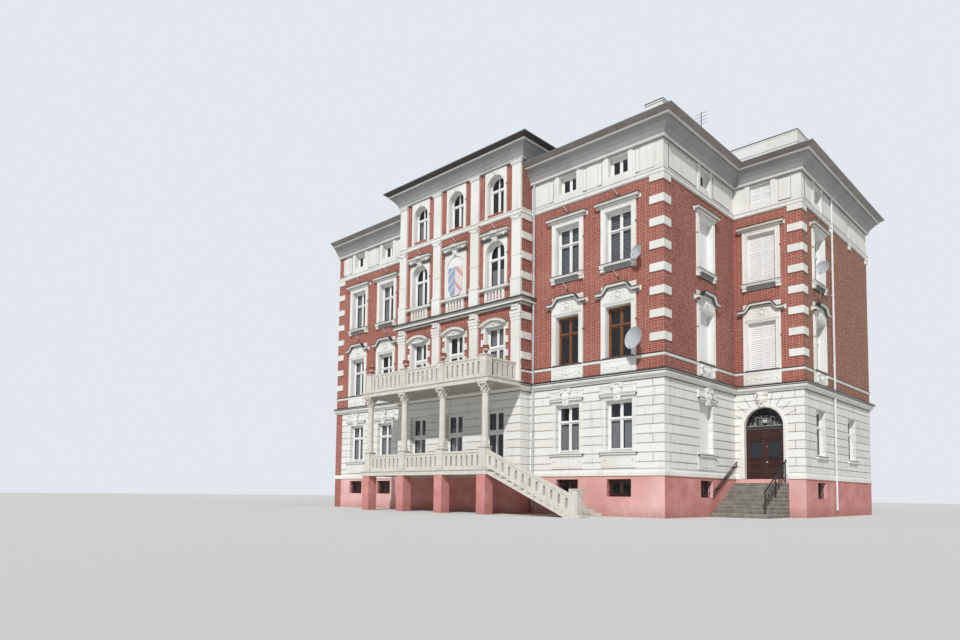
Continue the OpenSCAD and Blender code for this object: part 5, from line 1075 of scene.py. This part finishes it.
def louvres(form, width, foot, height, split=0.36):
    """Two leaves with frames and sloping slats, on a wall's own coordinates."""
    for s in (-1, 1):
        x0, x1 = sorted((s * 0.012, s * (width / 2 - 0.012)))
        mid = foot + height * (1 - split)
        for z0, z1 in ((foot + 0.01, mid), (mid, foot + height - 0.01)):
            for a, b in (((x0, 0.09, z0), (x0 + 0.055, 0.125, z1)), ((x1 - 0.055, 0.09, z0), (x1, 0.125, z1)),
                         ((x0 + 0.054, 0.092, z0), (x1 - 0.054, 0.125, z0 + 0.05)),
                         ((x0 + 0.054, 0.092, z1 - 0.05), (x1 - 0.054, 0.125, z1))):
                block(form, a, b, 0.003)
            count = int((z1 - z0 - 0.10) / 0.09)
            half = (z1 - z0 - 0.10) / count / 2
            for i in range(count):
                z = z0 + 0.05 + half * (2 * i + 1)
                sweep(form, [(-0.012, half - 0.002), (-0.004, half - 0.002), (0.017, 0.010 - half),
                             (0.013, 0.002 - half), (-0.012, 0.002 - half)],
                      [(x0 + 0.056, 0.112, z), (x1 - 0.056, 0.112, z)])


form, template = bmesh.new(), bmesh.new()
for sizes in (FIRST, SECOND, (*ATTIC, 0.5)):
    louvres(template, *sizes)
stamp(form, template, WING)
template = bmesh.new()
for width, foot, height in (GROUND, FIRST, SECOND):
    each = (width - 0.024) / 8                             # eight boards with open joints
    for x in (-width / 2 + 0.012 + (width - 0.024) * i / 8 for i in range(8)):
        block(template, (x + 0.002, 0.198, foot + 0.012), (x + each - 0.002, 0.221, foot + height - 0.012), 0.003)
stamp(form, template, RETURN)
piece("louvres_and_boards", form, shutter_white)

# Curtains and blinds hang inside the front's windows, each a single sheet on a steel rod in its
# reveal. Second storey right has striped day-and-night blinds, the others have net curtains.
net_curtain = new_material("white polyester net curtain")
surface(clouds(90.0, (1, 1, 0.2), 2.0, ((0.3, "#DDDFE2"), (0.7, "#EDEEEF"))), 0.9)
zebra_blind = new_material("day-and-night blind of banded polyester")
bands = add("Math", [add("Math", [at("Z"), 0.10], operation="DIVIDE")], operation="FRACT")
surface(layered("#66717C", (inside(bands, 0.0, 0.55), "#DDE1E6")), 0.9)
rods = bmesh.new()
for name, x, wall, foot, top, start, width, folds, deep in (
        ("curtain_ground_1", -8.935, FRONT_Y, 2.80, 4.72, -0.56, 1.12, 9, 0.022),
        ("curtain_ground_2", -6.335, FRONT_Y, 2.80, 4.72, -0.56, 1.12, 9, 0.022),
        ("curtain_ground_3", 6.335, FRONT_Y, 2.80, 3.92, -0.56, 1.12, 10, 0.018),
        ("curtain_ground_4a", 8.935, FRONT_Y, 2.80, 3.96, -0.56, 0.40, 4, 0.028),
        ("curtain_ground_4b", 8.935, FRONT_Y, 2.80, 3.96, 0.06, 0.48, 5, 0.028),
        ("curtain_first_1", -8.935, FRONT_Y, 6.65, 8.64, -0.55, 0.50, 5, 0.025),
        ("curtain_first_2", -6.335, FRONT_Y, 6.65, 8.64, 0.05, 0.50, 5, 0.025),
        ("curtain_balcony_1", -2.67, CENTRE_Y, 6.10, 8.62, -0.50, 0.42, 4, 0.028),
        ("curtain_balcony_2", 0.0, CENTRE_Y, 6.10, 8.62, 0.10, 0.40, 4, 0.028),
        ("curtain_balcony_3", 2.67, CENTRE_Y, 6.10, 8.62, -0.52, 1.04, 8, 0.025),
        ("curtain_terrace_1", -2.67, CENTRE_Y, 2.10, 4.10, -0.50, 1.0, 8, 0.022),
        ("curtain_terrace_2", 0.0, CENTRE_Y, 2.10, 4.10, -0.50, 1.0, 8, 0.022),
        ("curtain_second_1", -8.935, FRONT_Y, 10.68, 12.72, -0.55, 0.52, 5, 0.025),
        ("curtain_second_2", -6.335, FRONT_Y, 10.68, 12.72, -0.55, 0.52, 5, 0.025),
        ("curtain_arch_1", -2.67, CENTRE_Y, 10.68, 11.95, -0.50, 0.42, 4, 0.025),
        ("curtain_arch_3", 2.67, CENTRE_Y, 10.68, 11.55, -0.52, 1.04, 9, 0.018),
        ("curtain_top_1", -2.67, CENTRE_Y, 14.27, 15.25, -0.44, 0.50, 5, 0.022),
        ("curtain_top_2", 0.0, CENTRE_Y, 14.27, 15.25, -0.06, 0.50, 5, 0.022),
        ("blind_second_3", 6.335, FRONT_Y, 10.68, 12.74, -0.55, 1.10, 0, 0.0),
        ("blind_second_4", 8.935, FRONT_Y, 10.68, 12.74, -0.55, 1.10, 0, 0.0)):
    sheet = bmesh.new()
    rod_y = wall + 0.345
    across = 8 * folds or 4
    line = [Vector((x + start + width * i / across, rod_y + deep * math.cos(math.tau * folds * i / across)))
            for i in range(across + 1)]
    rows = [[sheet.verts.new((p.x + 0.006 * math.sin(5 * k + 3 * p.x), p.y + 0.004 * math.sin(2.2 * k + 9 * p.x),
                              foot + (top - foot) * k / 6)) for p in line] for k in range(7)]
    for low, high in zip(rows, rows[1:]):
        for i in range(across):
            sheet.faces.new((low[i], low[i + 1], high[i + 1], high[i]))
    hung = piece(name, sheet, net_curtain if folds else zebra_blind, smooth=60)
    turned(rods, [(0, 0), (0.007, 0), (0.007, 1.23), (0, 1.23)], (x - 0.615, rod_y, top + 0.012), 8, ACROSS, UP)
chrome = new_material("nickel-plated steel rod")
surface(clouds(20.0, stops=((0.3, "#8E8E8C"), (0.7, "#A8A8A6"))), 0.3, more={"Metallic": 1.0})
piece("curtain_rods", rods, chrome)

# Rainwater pipes: the front's are grey painted zinc, the side's is white. They have sockets
# about every two metres and a shoe at the foot.
rain_pipe = new_material("painted sheet zinc rainwater pipe")
worn = clouds(7.0, (2, 2, 0.4), 5.0)
grey, white = (add("ValToRGB", [worn], stops=((0.3, dark), (0.7, light)))
               for dark, light in (("#A3A8AD", "#C2C6CA"), ("#CFD0D0", "#E4E4E3")))
surface(layered(grey, (inside(at("X"), 12, 99), white)), 0.5)
finish_nodes(rain_pipe, "downpipes")
form = bmesh.new()
for x, y in ((4.47, 0.34), (-4.47, 0.34), (14.13, 10.95)):
    for z in (1.35, 3.30, 7.35, 9.35, 11.35, 13.30):
        turned(form, [(0, z), (0.0505, z), (0.0575, z + 0.006), (0.0575, z + 0.05), (0.0505, z + 0.07), (0, z + 0.07)],
               (x, y, 0), 20)
    turned(form, [(0, 0.302), (0.056, 0.302), (0.056, 0.34), (0.0505, 0.35), (0, 0.35)], (x, y, 0), 20)
piece("pipe_sockets", form, rain_pipe)

# Satellite dishes: light grey powder-coated steel with a feed arm and a feed horn each. The
# roof's aerials are darker galvanised tube.
dish_steel = new_material("grey powder-coated steel")
surface(layered(clouds(9.0, detail=5.0, stops=((0.3, "#A9ADB1"), (0.7, "#BDC1C4"))),
                (inside(at("Z"), 15.5, 99), "#75797C")), 0.75)
finish_nodes(dish_steel, "roof_fittings")
form = bmesh.new()
for spot, size, turn in (((10.0, 0.1416, 10.64), 0.58, -15), ((10.0, -0.012, 7.1025), 0.90, -15),
                         ((14.44, 8.595, 11.14), 0.60, -10)):
    arm = bmesh.new()
    rod(arm, 0.010, [(0, y * size, z * size) for y, z in ((-0.50, 0.16), (-0.42, 0.30), (-0.30, 0.42))], ACROSS)
    turned(arm, [(0, 0), (0.028, 0.0), (0.030, 0.05), (0.018, 0.07), (0.018, 0.11), (0, 0.11)],
           (0, -0.16 * size, 0.34 * size), 14, Vector((0, -0.5, 0.45)).normalized())
    rod(arm, 0.006, [(0.5 * size * math.cos(a), 0.5 * size * math.sin(a), 0.175 * size + 0.003)
                     for a in (math.tau * i / 40 for i in range(40))], UP, True)
    stamp(form, arm, [Matrix.Translation(spot) @ Matrix.Rotation(math.radians(turn), 4, "Z")
                      @ Matrix.Rotation(math.radians(82), 4, "X")])
piece("dish_arms", form, dish_steel)

# Old wall hooks: a slanting rod on a small black plate, under the frieze and under the second
# storey's sills.
form, feet = bmesh.new(), bmesh.new()
for places, heights in ((FRONT + SIDE, (13.42, 9.92)), (CENTRE, (13.40,))):
    hooks, plates = bmesh.new(), bmesh.new()
    for z in heights:
        block(plates, (-0.04, -0.03, z - 0.07), (0.04, 0.0, z + 0.05), 0.005)
        rod(hooks, 0.013, [(0, -0.02, z), (-0.07, -0.10, z + 0.14), (-0.15, -0.16, z + 0.31)], INTO)
    stamp(form, hooks, places)
    stamp(feet, plates, places)
piece("wall_hooks", form, white_iron)
piece("hook_plates", feet, black_iron)

# The frieze's raised panels have a ledge below and a fillet at their ends, painted grey as painted shade.
form = bmesh.new()
for places, spans in ((FRONT, ((-1.0, -0.815), (0.815, 1.0))), (RETURN, ((-3.23, -0.815), (0.815, 2.53))),
                      (WING, ((0.815, 1.355),)), (SIDE, ((-1.68, -0.815), (0.815, 4.26)))):
    for x0, x1 in spans:
        strip = bmesh.new()
        for z, high in ((14.105, 0.016), (15.088, 0.012)):
            block(strip, (x0 - 0.004, -0.030, z), (x1 + 0.004, -0.001, z + high), 0.002)
        for x in (x0, x1):
            block(strip, (x - 0.004, -0.026, 14.121), (x + 0.004, -0.001, 15.088), 0.001)
        stamp(form, strip, places)
piece("frieze_panel_edges", form, joint_and_shade_stucco)

# Flat wrought bars close the cellar windows.
form, template = bmesh.new(), bmesh.new()
for i in range(-3, 4):
    block(template, (0.155 * i - 0.008, 0.10, 0.825), (0.155 * i + 0.008, 0.116, 1.535), 0.003)
for z in (1.00, 1.34):
    block(template, (-0.57, 0.112, z), (0.57, 0.122, z + 0.03), 0.002)
stamp(form, template, FRONT + RETURN + SIDE)
piece("cellar_bars", form, black_iron)

# Small stucco blocks hang under the frieze string on the side wall.
form = bmesh.new()
for y in (10.95, 13.92, 16.92):
    block(form, (14.04, y - 0.13, 13.50), (14.13, y + 0.13, 13.80), 0.008)
    block(form, (14.04, y - 0.16, 13.70), (14.15, y + 0.16, 13.80), 0.008)
piece("string_blocks", form, white_stucco)

# Under the centre block's stepped hoods the stucco is painted nearly black, as painted shade.
form, template = bmesh.new(), bmesh.new()
for s in (-1, 1):
    for near, far, out, z0, z1 in ((0.20, 0.86, 0.19, 12.925, 12.965), (0.24, 0.80, 0.135, 12.865, 12.93)):
        x0, x1 = sorted((s * near, s * far))
        block(template, (x0, -out, z0), (x1, -0.055, z1), 0.004)
stamp(form, template, CENTRE)
piece("stepped_hood_soffits", form, joint_and_shade_stucco)

# A line of painted shadow under the ground storey's cornice, and low scrolls on the aprons below the
# first storey's windows.
form = bmesh.new()
sweep(form, [(0.0, 5.520), (0.012, 5.520), (0.030, 5.548), (0.0, 5.548)], ROUND)
piece("cornice_painted_shadow", form, joint_and_shade_stucco)
form, template = bmesh.new(), bmesh.new()
for s in (-1, 1):
    leaf(template, s * 0.10, -0.058, 6.16, 0.34, 0.10, s * 1.35, 0.030)
    leaf(template, s * 0.44, -0.058, 6.17, 0.16, 0.08, s * 0.60, 0.026)
    leaf(template, s * 0.44, -0.058, 6.15, 0.14, 0.07, s * 2.40, 0.026)
    disc(template, 0.050, 0.03, s * 0.66, -0.056, 6.16, eye=0.45)
disc(template, 0.075, 0.035, 0, -0.056, 6.16, eye=0.5)
stamp(form, template, MAIN)
piece("apron_scrolls", form, white_stucco)

# At the corners of the ground storey every other course has an upright joint.
form, template = bmesh.new(), bmesh.new()
for z in (2.216 + 0.373 * k for k in range(0, 9, 2)):
    block(template, (-0.010, -0.004, z + 0.01), (0.010, 0.004, min(z + 0.363, 5.53)), 0.001)
NEAR = 0.50                                                # from the corner
stamp(form, template, [on_wall(RETURN_X - NEAR, FRONT_Y), on_wall(PARTY_X + NEAR, FRONT_Y),
                       on_wall(RETURN_X, FRONT_Y + NEAR, 90), on_wall(SIDE_X - NEAR * 0.8, WING_Y),
                       on_wall(SIDE_X, WING_Y + NEAR, 90)])
piece("corner_joints", form, joint_and_shade_stucco)
